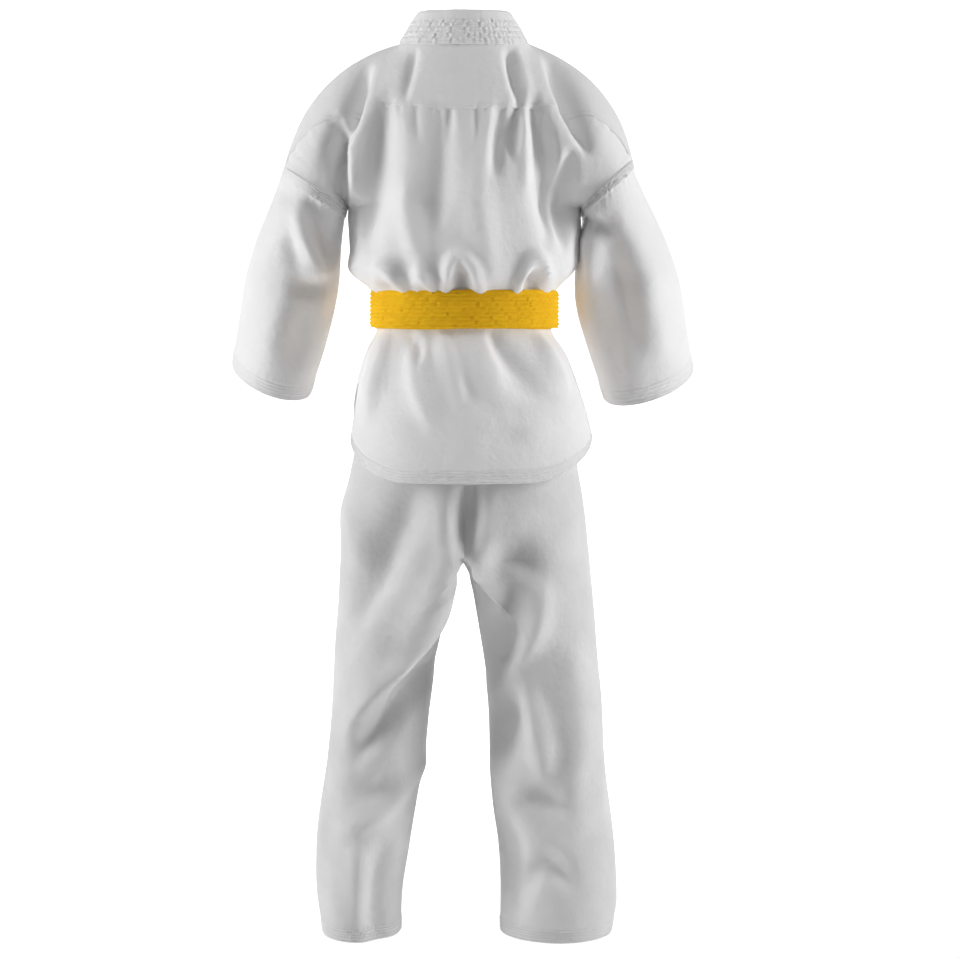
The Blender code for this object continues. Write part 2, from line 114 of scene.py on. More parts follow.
# height, outer side, inner side, half depth, how far the middle lies forward
LEFT_LEG = (
    (CROTCH, 0.1310, 0.0020, 0.0870, 0.000),
    (-0.585, 0.1335, 0.0195, 0.0790, 0.000),
    (-0.655, 0.1385, 0.0310, 0.0700, 0.002),
    (-0.750, 0.1460, 0.0430, 0.0640, 0.004),
    (-0.845, 0.1570, 0.0590, 0.0600, 0.002),
    (-0.898, 0.1565, 0.0665, 0.0575, 0.000),
    (TROUSER_HEM, 0.1515, 0.0685, 0.0560, 0.000),
)
RIGHT_LEG = (
    (CROTCH, 0.1310, 0.0020, 0.0870, 0.000),
    (-0.585, 0.1365, 0.0110, 0.0800, 0.000),
    (-0.655, 0.1415, 0.0215, 0.0710, 0.002),
    (-0.750, 0.1490, 0.0270, 0.0650, 0.004),
    (-0.845, 0.1600, 0.0340, 0.0610, 0.002),
    (-0.898, 0.1620, 0.0365, 0.0585, 0.000),
    (TROUSER_HEM, 0.1560, 0.0380, 0.0570, 0.000),
)
# The two arms hang a little differently. "plain" is how much of the armhole band's stitching is
# pulled flat on the outside of the arm.
ARMS = {
    1: {
        "tip": (0.187, 0.0, -0.126),
        "bend": (0.162, 0.0, -0.026),
        "elbow": (0.176, -0.018, -0.225),
        "cuff": (0.209, -0.072, -0.346),
        "cuff_across": (0.0427, 0.0, 0.0160),
        "cuff_deep": (0.0, 0.048, -0.0185),
        "plain": 0.9,
    },
    -1: {
        "tip": (0.174, 0.0, -0.119),
        "bend": (0.156, 0.0, -0.031),
        "elbow": (0.160, -0.016, -0.215),
        "cuff": (0.1985, -0.072, -0.352),
        "cuff_across": (0.0490, 0.0, 0.0150),
        "cuff_deep": (0.0, 0.048, -0.0185),
        "plain": 0.0,
    },
}
ARMHOLE_DEPTH = 0.051
SLEEVE_BULGE = 0.13
# place up the front, and where the lapel seam lies across it
LAPEL_SEAM = ((1.0, 0.42), (0.0, 0.02), (-0.34, -0.20), (-1.0, -0.30))
YOKE_MIDDLE = 0.545
YOKE_SIDE = 0.36

# how the upper back and chest bulge between the underarm and the neck
CHEST_BEND_HEIGHT = 0.42
CHEST_BULGE = 1.06
# where the back hem starts to climb, how far it takes, and how much more the front one climbs
RISE_START = 0.36
RISE_RUN = 0.60
RISE_POWER = 1.35
FRONT_RISE = 1.35
# share of the skirt's width that the side vents take away
BACK_VENT = 0.05
FRONT_VENT = 0.10
# how far above and below the underarm the body sheets are smoothed, and how strongly each time
SMOOTH_REACH = 0.25
SMOOTH_PULL = 0.8

BODY_COLUMNS = 145
SKIRT_ROWS = 36
BLOUSE_ROWS = 28
CHEST_ROWS = 41
SLEEVE_ROWS = 36
SEAT_ROWS = 46
LEG_ROWS = 62
TROUSER_COLUMNS = 104
SMOOTHING = 160
# share of a grid step taken each way to find a surface's direction
NORMAL_REACH = 0.7


# ---------------------------------------------------------------- small helpers
def ease(share):
    share = np.clip(share, 0.0, 1.0)
    return share * share * (3.0 - 2.0 * share)


def through(stations, places):
    """Smooth values at each place, from rows of (place, value, ...) listed from high to low."""
    rows = np.array(stations, float)[::-1]
    x = rows[:, 0]
    y = rows[:, 1:]
    slope = np.gradient(y, x, axis=0)
    step = np.diff(y, axis=0)
    turns = np.zeros_like(y, bool)
    turns[1:-1] = step[:-1] * step[1:] <= 0.0
    slope[turns] = 0.0
    at = np.clip(np.asarray(places, float), x[0], x[-1])
    i = np.clip(np.searchsorted(x, at, side="right") - 1, 0, len(x) - 2)
    run = x[i + 1] - x[i]
    t = ((at - x[i]) / run)[..., None]
    run = run[..., None]
    first = (2 * t**3 - 3 * t**2 + 1) * y[i] + (t**3 - 2 * t**2 + t) * run * slope[i]
    second = (3 * t**2 - 2 * t**3) * y[i + 1] + (t**3 - t**2) * run * slope[i + 1]
    return np.moveaxis(first + second, -1, 0)


def arch(start, control, end, t):
    t = np.asarray(t, float)[..., None]
    start, control, end = (np.asarray(x, float) for x in (start, control, end))
    return start * (1.0 - t) ** 2 + control * 2.0 * t * (1.0 - t) + end * t * t


def stack(x, y, z):
    return np.stack(np.broadcast_arrays(x, y, z), axis=-1).astype(float)


def level(height):
    return (height - UNDERARM) / (UNDERARM - JACKET_HEM)


class Sheet:
    """A grid of points with a column coordinate u and a row coordinate v, read off smoothly."""

    def __init__(self, points, us, vs, ring=False):
        self.points = points
        self.us = np.asarray(us, float)
        self.vs = np.asarray(vs, float)
        self.ring = ring

    def _take(self, rows, columns):
        count_v, count_u = self.points.shape[:2]
        rows = np.clip(rows, 0, count_v - 1)
        columns = columns % count_u if self.ring else np.clip(columns, 0, count_u - 1)
        return self.points[rows, columns]

    def at(self, u, v):
        u, v = np.broadcast_arrays(np.asarray(u, float), np.asarray(v, float))
        columns = np.interp(u, self.us, np.arange(len(self.us)))
        rows = np.interp(v, self.vs, np.arange(len(self.vs)))
        if self.ring:
            columns = (u - self.us[0]) / (self.us[1] - self.us[0])
        i = np.floor(columns).astype(int)
        j = np.minimum(np.floor(rows).astype(int), len(self.vs) - 2)
        a = columns - i
        b = rows - j
        found = 0.0
        for dj, wj in enumerate(cubic_weights(b)):
            line = 0.0
            for di, wi in enumerate(cubic_weights(a)):
                line = line + wi[..., None] * self._take(j + dj - 1, i + di - 1)
            found = found + wj[..., None] * line
        return found

    def normal(self, u, v):
        du = NORMAL_REACH * abs(self.us[1] - self.us[0])
        dv = NORMAL_REACH * abs(self.vs[1] - self.vs[0])
        across = self.at(u + du, v) - self.at(u - du, v)
        along = self.at(u, v + dv) - self.at(u, v - dv)
        n = np.cross(across, along)
        return n / np.maximum(np.linalg.norm(n, axis=-1, keepdims=True), 1e-12)


def cubic_weights(t):
    """The four weights of a Catmull-Rom curve."""
    return (
        0.5 * (-t + 2 * t**2 - t**3),
        0.5 * (2 - 5 * t**2 + 3 * t**3),
        0.5 * (t + 4 * t**2 - 3 * t**3),
        0.5 * (-(t**2) + t**3),
    )


# ---------------------------------------------------------------- jacket body
def tube(front, p, height):
    """The jacket below the underarm: p is 0 in the middle and 1 or -1 at the side lines."""
    p, height = np.broadcast_arrays(np.asarray(p, float), np.asarray(height, float))
    left, right, behind, before = through(JACKET_SECTIONS, height)
    half_width = np.where(p > 0.0, left, right)
    half_depth = -before if front else behind
    angle = p * math.pi / 2.0
    return stack(half_width * np.sin(angle), half_depth * np.cos(angle), height)


def neck_and_shoulder(front, side, u):
    share = LAPEL_SEAM[0][1]
    turn = np.clip(u / share, 0.0, 1.0) * math.pi / 2.0
    depth = -NECK_FRONT if front else NECK_BACK
    drop = -(NECK_DROP if front else NECK_BACK_DROP) * np.cos(turn)
    neck = stack(NECK_HALF * np.sin(turn), depth * np.cos(turn), drop)
    arm = ARMS[side]
    along = np.clip((u - share) / (1.0 - share), 0.0, 1.0)
    shoulder = arch((NECK_HALF, 0.0, 0.0), arm["bend"], arm["tip"], along)
    return np.where((u < share)[..., None], neck, shoulder)


def armhole(front, side, v):
    way = -1.0 if front else 1.0
    start = tube(front, float(side), UNDERARM)
    start = np.array([abs(start[0]), 0.0, start[2]])
    half = (np.array(ARMS[side]["tip"]) - start) * 0.5
    turn = math.pi * np.asarray(v, float)
    bulge = stack(0.0, way * ARMHOLE_DEPTH * np.sin(turn), 0.0)
    return start + half * (1.0 - np.cos(turn))[..., None] + bulge


def upper(front, p, v):
    """The jacket above the underarm: a patch blended from its four edges."""
    p, v = np.broadcast_arrays(np.asarray(p, float), np.asarray(v, float))
    found = np.zeros(p.shape + (3,))
    for side in (1, -1):
        u = np.abs(p)
        low_line = tube(front, u * side, UNDERARM)
        low_line[..., 0] = np.abs(low_line[..., 0])
        high_line = neck_and_shoulder(front, side, u)
        low_middle = tube(front, 0.0, UNDERARM)
        high_middle = neck_and_shoulder(front, side, np.zeros(1))[0]
        reach = high_middle[2] + CHEST_BEND_HEIGHT * (low_middle[2] - high_middle[2])
        bend = np.array([0.0, low_middle[1] * CHEST_BULGE, reach])
        middle = arch(low_middle, bend, high_middle, v)
        hole = armhole(front, side, v)
        low_side = armhole(front, side, 0.0)
        high_side = armhole(front, side, 1.0)
        a = u[..., None]
        b = v[..., None]
        patch = low_line * (1 - b) + high_line * b + middle * (1 - a) + hole * a
        patch = patch - (low_middle * (1 - a) + low_side * a) * (1 - b)
        patch = patch - (high_middle * (1 - a) + high_side * a) * b
        patch[..., 0] *= side
        found = np.where(((p >= 0.0) == (side > 0))[..., None], patch, found)
    return found


def body_surface(front, p, t):
    p, t = np.broadcast_arrays(np.asarray(p, float), np.asarray(t, float))
    below = tube(front, p, UNDERARM + np.minimum(t, 0.0) * (UNDERARM - JACKET_HEM))
    above = upper(front, p, np.maximum(t, 0.0))
    return np.where((t < 0.0)[..., None], below, above)


def corner_rise(share):
    """How much the back hem climbs towards the side vents."""
    return CORNER_RISE * np.clip((np.abs(share) - RISE_START) / RISE_RUN, 0.0, 1.0) ** RISE_POWER


def body_rows():
    skirt = np.linspace(-1.0, level(BELT_BOTTOM), SKIRT_ROWS)
    blouse = np.linspace(level(BELT_BOTTOM), 0.0, BLOUSE_ROWS + 1)[1:]
    chest = np.linspace(0.0, 1.0, CHEST_ROWS)[1:]
    return np.concatenate([skirt, blouse, chest])


def body_sheet(front):
    us = np.linspace(-1.0, 1.0, BODY_COLUMNS)
    vs = body_rows()
    p, t = np.meshgrid(us, vs)
    vent = level(VENT_TOP)
    inside = ease((vent - t) / (vent + 1.0))
    lift = corner_rise(p) / (UNDERARM - JACKET_HEM)
    if front:
        lift = lift * FRONT_RISE
    place = np.where(t < vent, t + lift * (vent - t) / (vent + 1.0), t)
    opened = FRONT_VENT if front else BACK_VENT
    p = p * (1.0 - opened * inside)
    points = body_surface(front, p, place)
    free = ease((1.0 - t) / SMOOTH_REACH) * ease((t + SMOOTH_REACH) / SMOOTH_REACH)
    free[:, [0, -1]] = 0.0
    for _ in range(SMOOTHING):
        average = (np.roll(points, 1, 1) + np.roll(points, -1, 1)) / 2.0
        points = points + (average - points) * (SMOOTH_PULL * free)[..., None]
    return Sheet(points, us, vs)


# ---------------------------------------------------------------- sleeves
def sleeve_sheet(side):
    """Columns run round the armhole: up the back edge, then down the front one."""
    arm = {k: np.array(v) for k, v in ARMS[side].items()}
    start = armhole(False, side, 0.0)
    centre = (start + arm["tip"]) * 0.5
    across = (arm["tip"] - start) * 0.5
    deep = np.array([0.0, ARMHOLE_DEPTH, 0.0])
    columns = 2 * (CHEST_ROWS - 1)
    us = np.arange(columns) / columns
    vs = np.linspace(0.0, 1.0, SLEEVE_ROWS)
    u, v = np.meshgrid(us, vs)
    middle = arch(centre, arm["elbow"], arm["cuff"], v)
    wide = ease(v * 1.5)[..., None]
    side_on = across * (1 - wide) + arm["cuff_across"] * wide
    side_on = side_on * (1.0 + SLEEVE_BULGE * np.sin(math.pi * v))[..., None]
    back_on = deep * (1 - v[..., None]) + arm["cuff_deep"] * v[..., None]
    turn = 2.0 * math.pi * u
    points = middle - side_on * np.cos(turn)[..., None] + back_on * np.sin(turn)[..., None]
    points[..., 0] *= side
    return Sheet(points, us, vs, ring=True)


# ---------------------------------------------------------------- trousers
def seat_sheet():
    us = np.arange(TROUSER_COLUMNS) / TROUSER_COLUMNS
    vs = np.linspace(0.0, 1.0, SEAT_ROWS)
    u, v = np.meshgrid(us, vs)
    height = CROTCH + (WAIST_TOP - CROTCH) * v
    half_width, behind, before = through(SEAT_SECTIONS, height)
    turn = 2.0 * math.pi * u
    half_depth = np.where(np.cos(turn) >= 0.0, behind, before)
    points = stack(half_width * np.sin(turn), half_depth * np.cos(turn), height)
    return Sheet(points, us, vs, ring=True)


def leg_sheet(side):
    """Columns run from the middle of the back, round the outside, then back up the inside."""
    us = np.arange(TROUSER_COLUMNS) / TROUSER_COLUMNS
    vs = np.linspace(0.0, 1.0, LEG_ROWS)
    u, v = np.meshgrid(us, vs)
    height = TROUSER_HEM + (CROTCH - TROUSER_HEM) * v
    outer, inner, half_depth, forward = through(LEFT_LEG if side > 0 else RIGHT_LEG, height)
    _, behind, before = through(SEAT_SECTIONS, np.full_like(height, CROTCH))
    turn = 2.0 * math.pi * u - math.pi / 2.0
    rounding = ease((CROTCH - height) / 0.110)
    middle = inner + (outer - inner) * 0.5 * rounding
    reach = np.where(np.cos(turn) > 0.0, outer - middle, middle - inner)
    depth = np.where(np.sin(turn) < 0.0, behind, before) * (1 - rounding) + half_depth * rounding
    x = middle + reach * np.cos(turn)
    y = -depth * np.sin(turn) - forward
    return Sheet(stack(side * x, y, height), us, vs, ring=True)


# ---------------------------------------------------------------- folds laid in
# from (x, z), bent towards (x, z), to (x, z), half width, depth (below zero is a crease), lean
BACK_FOLDS = (
    ((0.048, -0.006), (0.052, -0.030), (0.060, -0.062), 0.0028, -0.0022, 0.3),
    ((-0.044, -0.004), (-0.047, -0.036), (-0.057, -0.066), 0.0042, -0.0042, -0.6),
    ((-0.052, -0.008), (-0.058, -0.036), (-0.066, -0.064), 0.0040, 0.0022, 0.0),
    ((-0.057, -0.064), (-0.051, -0.090), (-0.050, -0.118), 0.0045, -0.0040, 0.3),
    ((-0.036, -0.070), (-0.036, -0.100), (-0.030, -0.134), 0.0050, -0.0042, -0.3),
    ((-0.072, -0.064), (-0.094, -0.120), (-0.090, -0.195), 0.0085, -0.0075, 0.5),
    ((-0.060, -0.066), (-0.066, -0.100), (-0.064, -0.150), 0.0060, 0.0025, 0.0),
    ((-0.086, -0.024), (-0.102, -0.060), (-0.124, -0.112), 0.0060, -0.0075, -0.5),
    ((-0.110, -0.120), (-0.104, -0.160), (-0.104, -0.205), 0.0070, -0.0060, 0.3),
    ((0.026, -0.070), (0.016, -0.120), (0.030, -0.190), 0.0120, -0.0024, 0.2),
    ((0.080, -0.066), (0.098, -0.120), (0.100, -0.200), 0.0115, -0.0052, -0.4),
    ((0.098, -0.030), (0.108, -0.064), (0.121, -0.104), 0.0058, -0.0072, 0.5),
    ((0.130, -0.082), (0.124, -0.120), (0.124, -0.165), 0.0065, -0.0090, 0.5),
    ((0.050, -0.068), (0.050, -0.084), (0.047, -0.104), 0.0030, -0.0014, 0.0),
    ((0.012, -0.068), (0.014, -0.080), (0.013, -0.096), 0.0028, -0.0013, 0.0),
    ((-0.012, -0.068), (-0.014, -0.084), (-0.012, -0.104), 0.0030, -0.0014, 0.0),
    ((0.058, -0.150), (0.056, -0.190), (0.040, -0.232), 0.0100, 0.0030, 0.0),
    ((-0.016, -0.130), (-0.010, -0.180), (-0.028, -0.236), 0.0110, 0.0026, 0.0),
    ((0.020, -0.252), (0.006, -0.196), (-0.018, -0.252), 0.0058, 0.0052, 0.2),
    ((-0.054, -0.252), (-0.074, -0.198), (-0.086, -0.250), 0.0060, 0.0060, 0.2),
    ((0.050, -0.252), (0.042, -0.226), (0.030, -0.252), 0.0050, 0.0042, 0.2),
    ((0.094, -0.248), (0.080, -0.210), (0.060, -0.252), 0.0060, 0.0048, 0.2),
    ((0.006, -0.225), (0.000, -0.240), (0.002, -0.254), 0.0060, -0.0040, 0.0),
    ((-0.068, -0.228), (-0.066, -0.240), (-0.072, -0.254), 0.0060, -0.0045, 0.0),
    ((0.056, -0.300), (0.040, -0.312), (0.044, -0.328), 0.0032, -0.0026, 0.4),
    ((0.046, -0.300), (0.056, -0.350), (0.030, -0.392), 0.0110, 0.0024, -0.3),
    ((0.022, -0.300), (0.012, -0.330), (0.002, -0.366), 0.0070, 0.0024, 0.3),
    ((0.016, -0.330), (0.000, -0.360), (-0.030, -0.376), 0.0080, -0.0014, 0.0),
    ((-0.026, -0.300), (-0.044, -0.340), (-0.078, -0.352), 0.0062, -0.0030, -0.3),
    ((-0.040, -0.340), (-0.062, -0.362), (-0.092, -0.362), 0.0048, -0.0020, 0.2),
    ((-0.078, -0.302), (-0.090, -0.330), (-0.106, -0.350), 0.0060, 0.0026, 0.3),
    ((0.080, -0.302), (0.090, -0.340), (0.098, -0.380), 0.0080, 0.0026, 0.2),
    ((-0.006, -0.304), (-0.014, -0.370), (-0.004, -0.440), 0.0180, 0.0016, 0.0),
    ((-0.050, -0.395), (-0.070, -0.402), (-0.090, -0.398), 0.0070, 0.0012, 0.0),
)
FRONT_FOLDS = (
    ((0.110, -0.045), (0.100, -0.100), (0.070, -0.160), 0.0080, -0.0060, 0.4),
    ((-0.110, -0.045), (-0.104, -0.100), (-0.080, -0.170), 0.0080, -0.0060, -0.4),
    ((0.110, -0.140), (0.090, -0.190), (0.060, -0.245), 0.0090, -0.0050, 0.3),
    ((-0.112, -0.150), (-0.096, -0.200), (-0.070, -0.248), 0.0085, -0.0055, -0.3),
    ((0.080, -0.250), (0.066, -0.214), (0.050, -0.250), 0.0055, 0.0060, 0.2),
    ((-0.052, -0.250), (-0.070, -0.212), (-0.088, -0.248), 0.0055, 0.0060, 0.2),
    ((0.050, -0.302), (0.062, -0.350), (0.070, -0.420), 0.0100, 0.0050, 0.2),
    ((0.086, -0.302), (0.098, -0.350), (0.104, -0.410), 0.0080, 0.0045, 0.2),
    ((-0.078, -0.302), (-0.090, -0.350), (-0.100, -0.420), 0.0090, 0.0050, -0.2),
    ((0.020, -0.302), (0.016, -0.360), (0.024, -0.430), 0.0120, 0.0035, 0.0),
)
LEFT_SLEEVE_FOLDS = (
    ((0.190, -0.150), (0.165, -0.166), (0.146, -0.166), 0.0045, -0.0035, 0.3),
    ((0.170, -0.164), (0.164, -0.205), (0.142, -0.238), 0.0055, 0.0042, 0.4),
    ((0.152, -0.170), (0.142, -0.200), (0.136, -0.226), 0.0080, -0.0045, 0.0),
    ((0.140, -0.247), (0.157, -0.257), (0.180, -0.247), 0.0058, -0.0050, 0.3),
    ((0.140, -0.236), (0.158, -0.240), (0.174, -0.238), 0.0042, 0.0028, 0.0),
    ((0.178, -0.196), (0.178, -0.215), (0.168, -0.236), 0.0075, -0.0030, 0.0),
    ((0.160, -0.264), (0.170, -0.300), (0.180, -0.338), 0.0110, -0.0024, 0.0),
    ((0.190, -0.262), (0.200, -0.300), (0.208, -0.334), 0.0100, 0.0018, 0.0),
)
RIGHT_SLEEVE_FOLDS = (
    ((-0.120, -0.178), (-0.136, -0.192), (-0.152, -0.186), 0.0050, -0.0055, 0.3),
    ((-0.125, -0.188), (-0.136, -0.215), (-0.130, -0.250), 0.0060, 0.0040, 0.0),
    ((-0.152, -0.190), (-0.160, -0.250), (-0.180, -0.312), 0.0130, -0.0042, 0.3),
    ((-0.178, -0.200), (-0.194, -0.260), (-0.210, -0.322), 0.0120, 0.0025, 0.0),
    ((-0.140, -0.270), (-0.152, -0.300), (-0.164, -0.345), 0.0090, -0.0026, 0.2),
    ((-0.142, -0.236), (-0.166, -0.246), (-0.192, -0.234), 0.0060, -0.0018, 0.2),
)
TROUSER_FOLDS = (
    ((-0.006, -0.440), (-0.004, -0.490), (0.001, -0.534), 0.0080, -0.0075, 0.0),
    ((0.016, -0.456), (0.018, -0.490), (0.010, -0.528), 0.0050, 0.0035, 0.0),
    ((-0.022, -0.456), (-0.020, -0.490), (-0.010, -0.528), 0.0050, 0.0035, 0.0),
    ((0.050, -0.466), (0.072, -0.520), (0.110, -0.590), 0.0140, -0.0055, 0.2),
    ((0.010, -0.520), (0.034, -0.600), (0.070, -0.650), 0.0090, 0.0050, 0.3),
    ((0.060, -0.636), (0.096, -0.676), (0.118, -0.715), 0.0085, 0.0050, 0.3),
    ((0.034, -0.645), (0.068, -0.690), (0.112, -0.735), 0.0095, -0.0060, 0.3),
    ((0.052, -0.764), (0.080, -0.790), (0.112, -0.766), 0.0125, -0.0050, 0.0),
    ((0.042, -0.752), (0.070, -0.795), (0.124, -0.815), 0.0085, 0.0045, 0.3),
    ((0.082, -0.835), (0.092, -0.880), (0.088, -0.930), 0.0140, -0.0045, 0.2),
    ((0.112, -0.830), (0.106, -0.870), (0.110, -0.905), 0.0090, 0.0030, 0.0),
    ((0.124, -0.470), (0.112, -0.500), (0.104, -0.545), 0.0110, 0.0025, 0.0),
    ((-0.024, -0.560), (-0.044, -0.500), (-0.074, -0.545), 0.0105, -0.0060, 0.0),
    ((-0.050, -0.545), (-0.058, -0.600), (-0.030, -0.655), 0.0120, -0.0055, 0.2),
    ((-0.080, -0.550), (-0.080, -0.610), (-0.040, -0.648), 0.0080, 0.0050, 0.3),
    ((-0.036, -0.670), (-0.044, -0.700), (-0.036, -0.745), 0.0120, -0.0050, 0.0),
    ((-0.066, -0.665), (-0.078, -0.710), (-0.082, -0.755), 0.0100, 0.0040, 0.0),
    ((-0.058, -0.788), (-0.080, -0.770), (-0.104, -0.788), 0.0075, -0.0045, 0.0),
    ((-0.064, -0.872), (-0.086, -0.830), (-0.112, -0.872), 0.0080, -0.0045, 0.0),
    ((-0.046, -0.815), (-0.048, -0.860), (-0.052, -0.905), 0.0120, -0.0035, 0.0),
    ((-0.112, -0.630), (-0.120, -0.700), (-0.114, -0.770), 0.0140, 0.0030, 0.0),
)
FOLD_STEPS = 13
JACKET_GAIN = 3.4
SLEEVE_GAIN = 2.6
TROUSER_GAIN = 3.7
FOLD_SPREAD = 1.12


def crease(x, z, start, control, end, half_width, depth, lean):
    """How far one fold lifts each place. lean makes one of its two sides steeper."""
    t = np.linspace(0.0, 1.0, FOLD_STEPS)
    line = arch((*start, 0.0), (*control, 0.0), (*end, 0.0), t)[:, :2]
    place = np.stack([x, z], axis=-1)
    gap = np.full(x.shape, np.inf)
    along = np.zeros(x.shape)
    side = np.zeros(x.shape)
    for k in range(FOLD_STEPS - 1):
        run = line[k + 1] - line[k]
        away = place - line[k]
        share = np.clip((away @ run) / (run @ run), 0.0, 1.0)
        distance = np.linalg.norm(away - share[..., None] * run, axis=-1)
        nearer = distance < gap
        gap = np.where(nearer, distance, gap)
        along = np.where(nearer, (k + share) / (FOLD_STEPS - 1), along)
        across = (run[0] * away[..., 1] - run[1] * away[..., 0]) / np.linalg.norm(run)
        side = np.where(nearer, np.tanh(across / (0.5 * half_width)), side)
    width = FOLD_SPREAD * half_width * (1.0 + lean * side) * (0.75 + 0.5 * np.sin(math.pi * along))
    fade = np.sin(math.pi * (0.06 + 0.88 * along)) ** 0.6
    return depth * fade * np.exp(-((gap / width) ** 2))


def outward(sheet, u, v):
    """Normals that point away from the sheet's own middle."""
    normal = sheet.normal(u, v)
    centre = sheet.points.reshape(-1, 3).mean(axis=0)
    if not sheet.ring:
        centre = np.array([0.0, 0.0, centre[2]])
    away = sheet.points - centre
    if sheet.ring:
        away = sheet.points - sheet.points.mean(axis=1, keepdims=True)
    total = (normal * away)[..., :2].sum()
    return normal if total > 0.0 else -normal


# ---------------------------------------------------------------- building pieces
THREAD = 0.00024
STITCH = 0.0026
STITCH_GAP = 0.0010
ROW_SPACING = 0.0028
PUFF = 0.00085
# how far threads lie above a finished band, and the bend at which an edge is drawn sharp
THREAD_RISE = 0.0001
SHARP_ANGLE = math.radians(50.0)
CLOTH_SLOT = 0
THREAD_SLOT = 1


def run_length(points, axis):
    """Mean distance travelled along one way of a grid, from its first line."""
    steps = np.linalg.norm(np.diff(points, axis=axis), axis=-1).mean(axis=1 - axis)
    return np.concatenate([[0.0], np.cumsum(steps)])


def shell_part(points, normals, thickness, ring=False):
    """A closed skin: the outer grid, an inner grid one thickness behind it, and the rim."""
    rows, columns = points.shape[:2]
    thickness = np.broadcast_to(np.asarray(thickness, float), (rows, columns))
    inner = points - normals * thickness[..., None]
    count = rows * columns
    index = np.arange(count).reshape(rows, columns)
    if ring:
        index = np.concatenate([index, index[:, :1]], axis=1)
    wide = index.shape[1]
    closed = np.concatenate([points, points[:, :1]], axis=1) if ring else points
    uv = np.stack(np.meshgrid(run_length(closed, 1), run_length(closed, 0)), axis=-1)

    def quads(grid):
        return np.stack([grid[:-1, :-1], grid[:-1, 1:], grid[1:, 1:], grid[1:, :-1]], -1)

    corner = np.arange(rows * wide).reshape(rows, wide)
    faces = [quads(index).reshape(-1, 4), quads(index)[..., ::-1].reshape(-1, 4) + count]
    corners = [quads(corner).reshape(-1, 4), quads(corner)[..., ::-1].reshape(-1, 4)]
    edges = [(index[0], corner[0]), (index[-1][::-1], corner[-1][::-1])]
    if not ring:
        edges.append((index[::-1, 0], corner[::-1, 0]))
        edges.append((index[:, -1], corner[:, -1]))
    for line, mark in edges:
        rim = np.stack([line[1:], line[:-1], line[:-1] + count, line[1:] + count], -1)
        faces.append(rim)
        corners.append(np.stack([mark[1:], mark[:-1], mark[:-1], mark[1:]], -1))
    faces = np.concatenate(faces)
    corners = np.concatenate(corners)
    a, b, _, d = (points.reshape(-1, 3)[faces[len(faces) // 4][k] % count] for k in range(4))
    if np.cross(b - a, d - a) @ normals.reshape(-1, 3)[faces[len(faces) // 4][0] % count] < 0.0:
        faces = faces[:, ::-1]
        corners = corners[:, ::-1]
    vertices = np.concatenate([points.reshape(-1, 3), inner.reshape(-1, 3)])
    return vertices, faces, uv.reshape(-1, 2)[corners.reshape(-1)], CLOTH_SLOT


def stitch_part(lines):
    """Short raised threads along each (points, normals) line."""
    vertices = []
    for points, normals in lines:
        run = np.concatenate([[0.0], np.cumsum(np.linalg.norm(np.diff(points, axis=0), axis=1))])
        starts = np.arange(STITCH_GAP, run[-1] - STITCH, STITCH + STITCH_GAP)
        if len(starts) == 0:
            continue
        for place, thick, rise in ((0.0, 0.6, 0.0), (0.5, 1.0, 0.5), (1.0, 0.6, 0.0)):
            at = starts + place * STITCH
            centre = np.stack([np.interp(at, run, points[:, k]) for k in range(3)], -1)
            up = np.stack([np.interp(at, run, normals[:, k]) for k in range(3)], -1)
            ahead = np.stack([np.interp(at + 0.001, run, points[:, k]) for k in range(3)], -1)
            behind = np.stack([np.interp(at - 0.001, run, points[:, k]) for k in range(3)], -1)
            along = ahead - behind
            side = np.cross(along, up)
            side /= np.maximum(np.linalg.norm(side, axis=1, keepdims=True), 1e-12)
            centre = centre + up * THREAD * rise
            r = THREAD * thick
            ring = [centre + side * r, centre + up * r, centre - side * r, centre - up * r]
            vertices.append(np.stack(ring, axis=1))
    sets = [np.stack(vertices[i : i + 3], axis=1) for i in range(0, len(vertices), 3)]
    blocks = np.concatenate(sets)
    number = len(blocks)
    base = (np.arange(number) * 12)[:, None, None]
    one = []
    for j in range(2):
        for k in range(4):
            m = (k + 1) % 4
            one.append((j * 4 + k, j * 4 + m, j * 4 + 4 + m, j * 4 + 4 + k))
    one.append((3, 2, 1, 0))
    one.append((8, 9, 10, 11))
    faces = (base + np.array(one)[None]).reshape(-1, 4)
    uv = np.zeros((len(faces) * 4, 2))
    return blocks.reshape(-1, 3), faces, uv, THREAD_SLOT


def assemble(name, parts, materials):
    """One object from several parts, with its own texture coordinates in metres."""
    vertices = np.concatenate([p[0] for p in parts])
    starts = np.cumsum([0] + [len(p[0]) for p in parts])
    faces = np.concatenate([p[1] + s for p, s in zip(parts, starts)])
    mesh = bpy.data.meshes.new(name)
    mesh.vertices.add(len(vertices))
    mesh.vertices.foreach_set("co", vertices.astype(np.float32).ravel())
    mesh.loops.add(faces.size)
    mesh.loops.foreach_set("vertex_index", faces.astype(np.int32).ravel())
    mesh.polygons.add(len(faces))
    mesh.polygons.foreach_set("loop_start", (np.arange(len(faces)) * 4).astype(np.int32))
    slots = np.concatenate([np.full(len(p[1]), p[3]) for p in parts])
    mesh.polygons.foreach_set("material_index", slots.astype(np.int32))
    layer = mesh.uv_layers.new(name="metres")
    layer.data.foreach_set("uv", np.concatenate([p[2] for p in parts]).astype(np.float32).ravel())
    for material in materials:
        mesh.materials.append(material)
    mesh.update(calc_edges=True)
    mesh.validate()
    mesh.shade_smooth()
    mesh.set_sharp_from_angle(angle=SHARP_ANGLE)
    made = bpy.data.objects.new(name, mesh)
    bpy.context.scene.collection.objects.link(made)
    return made


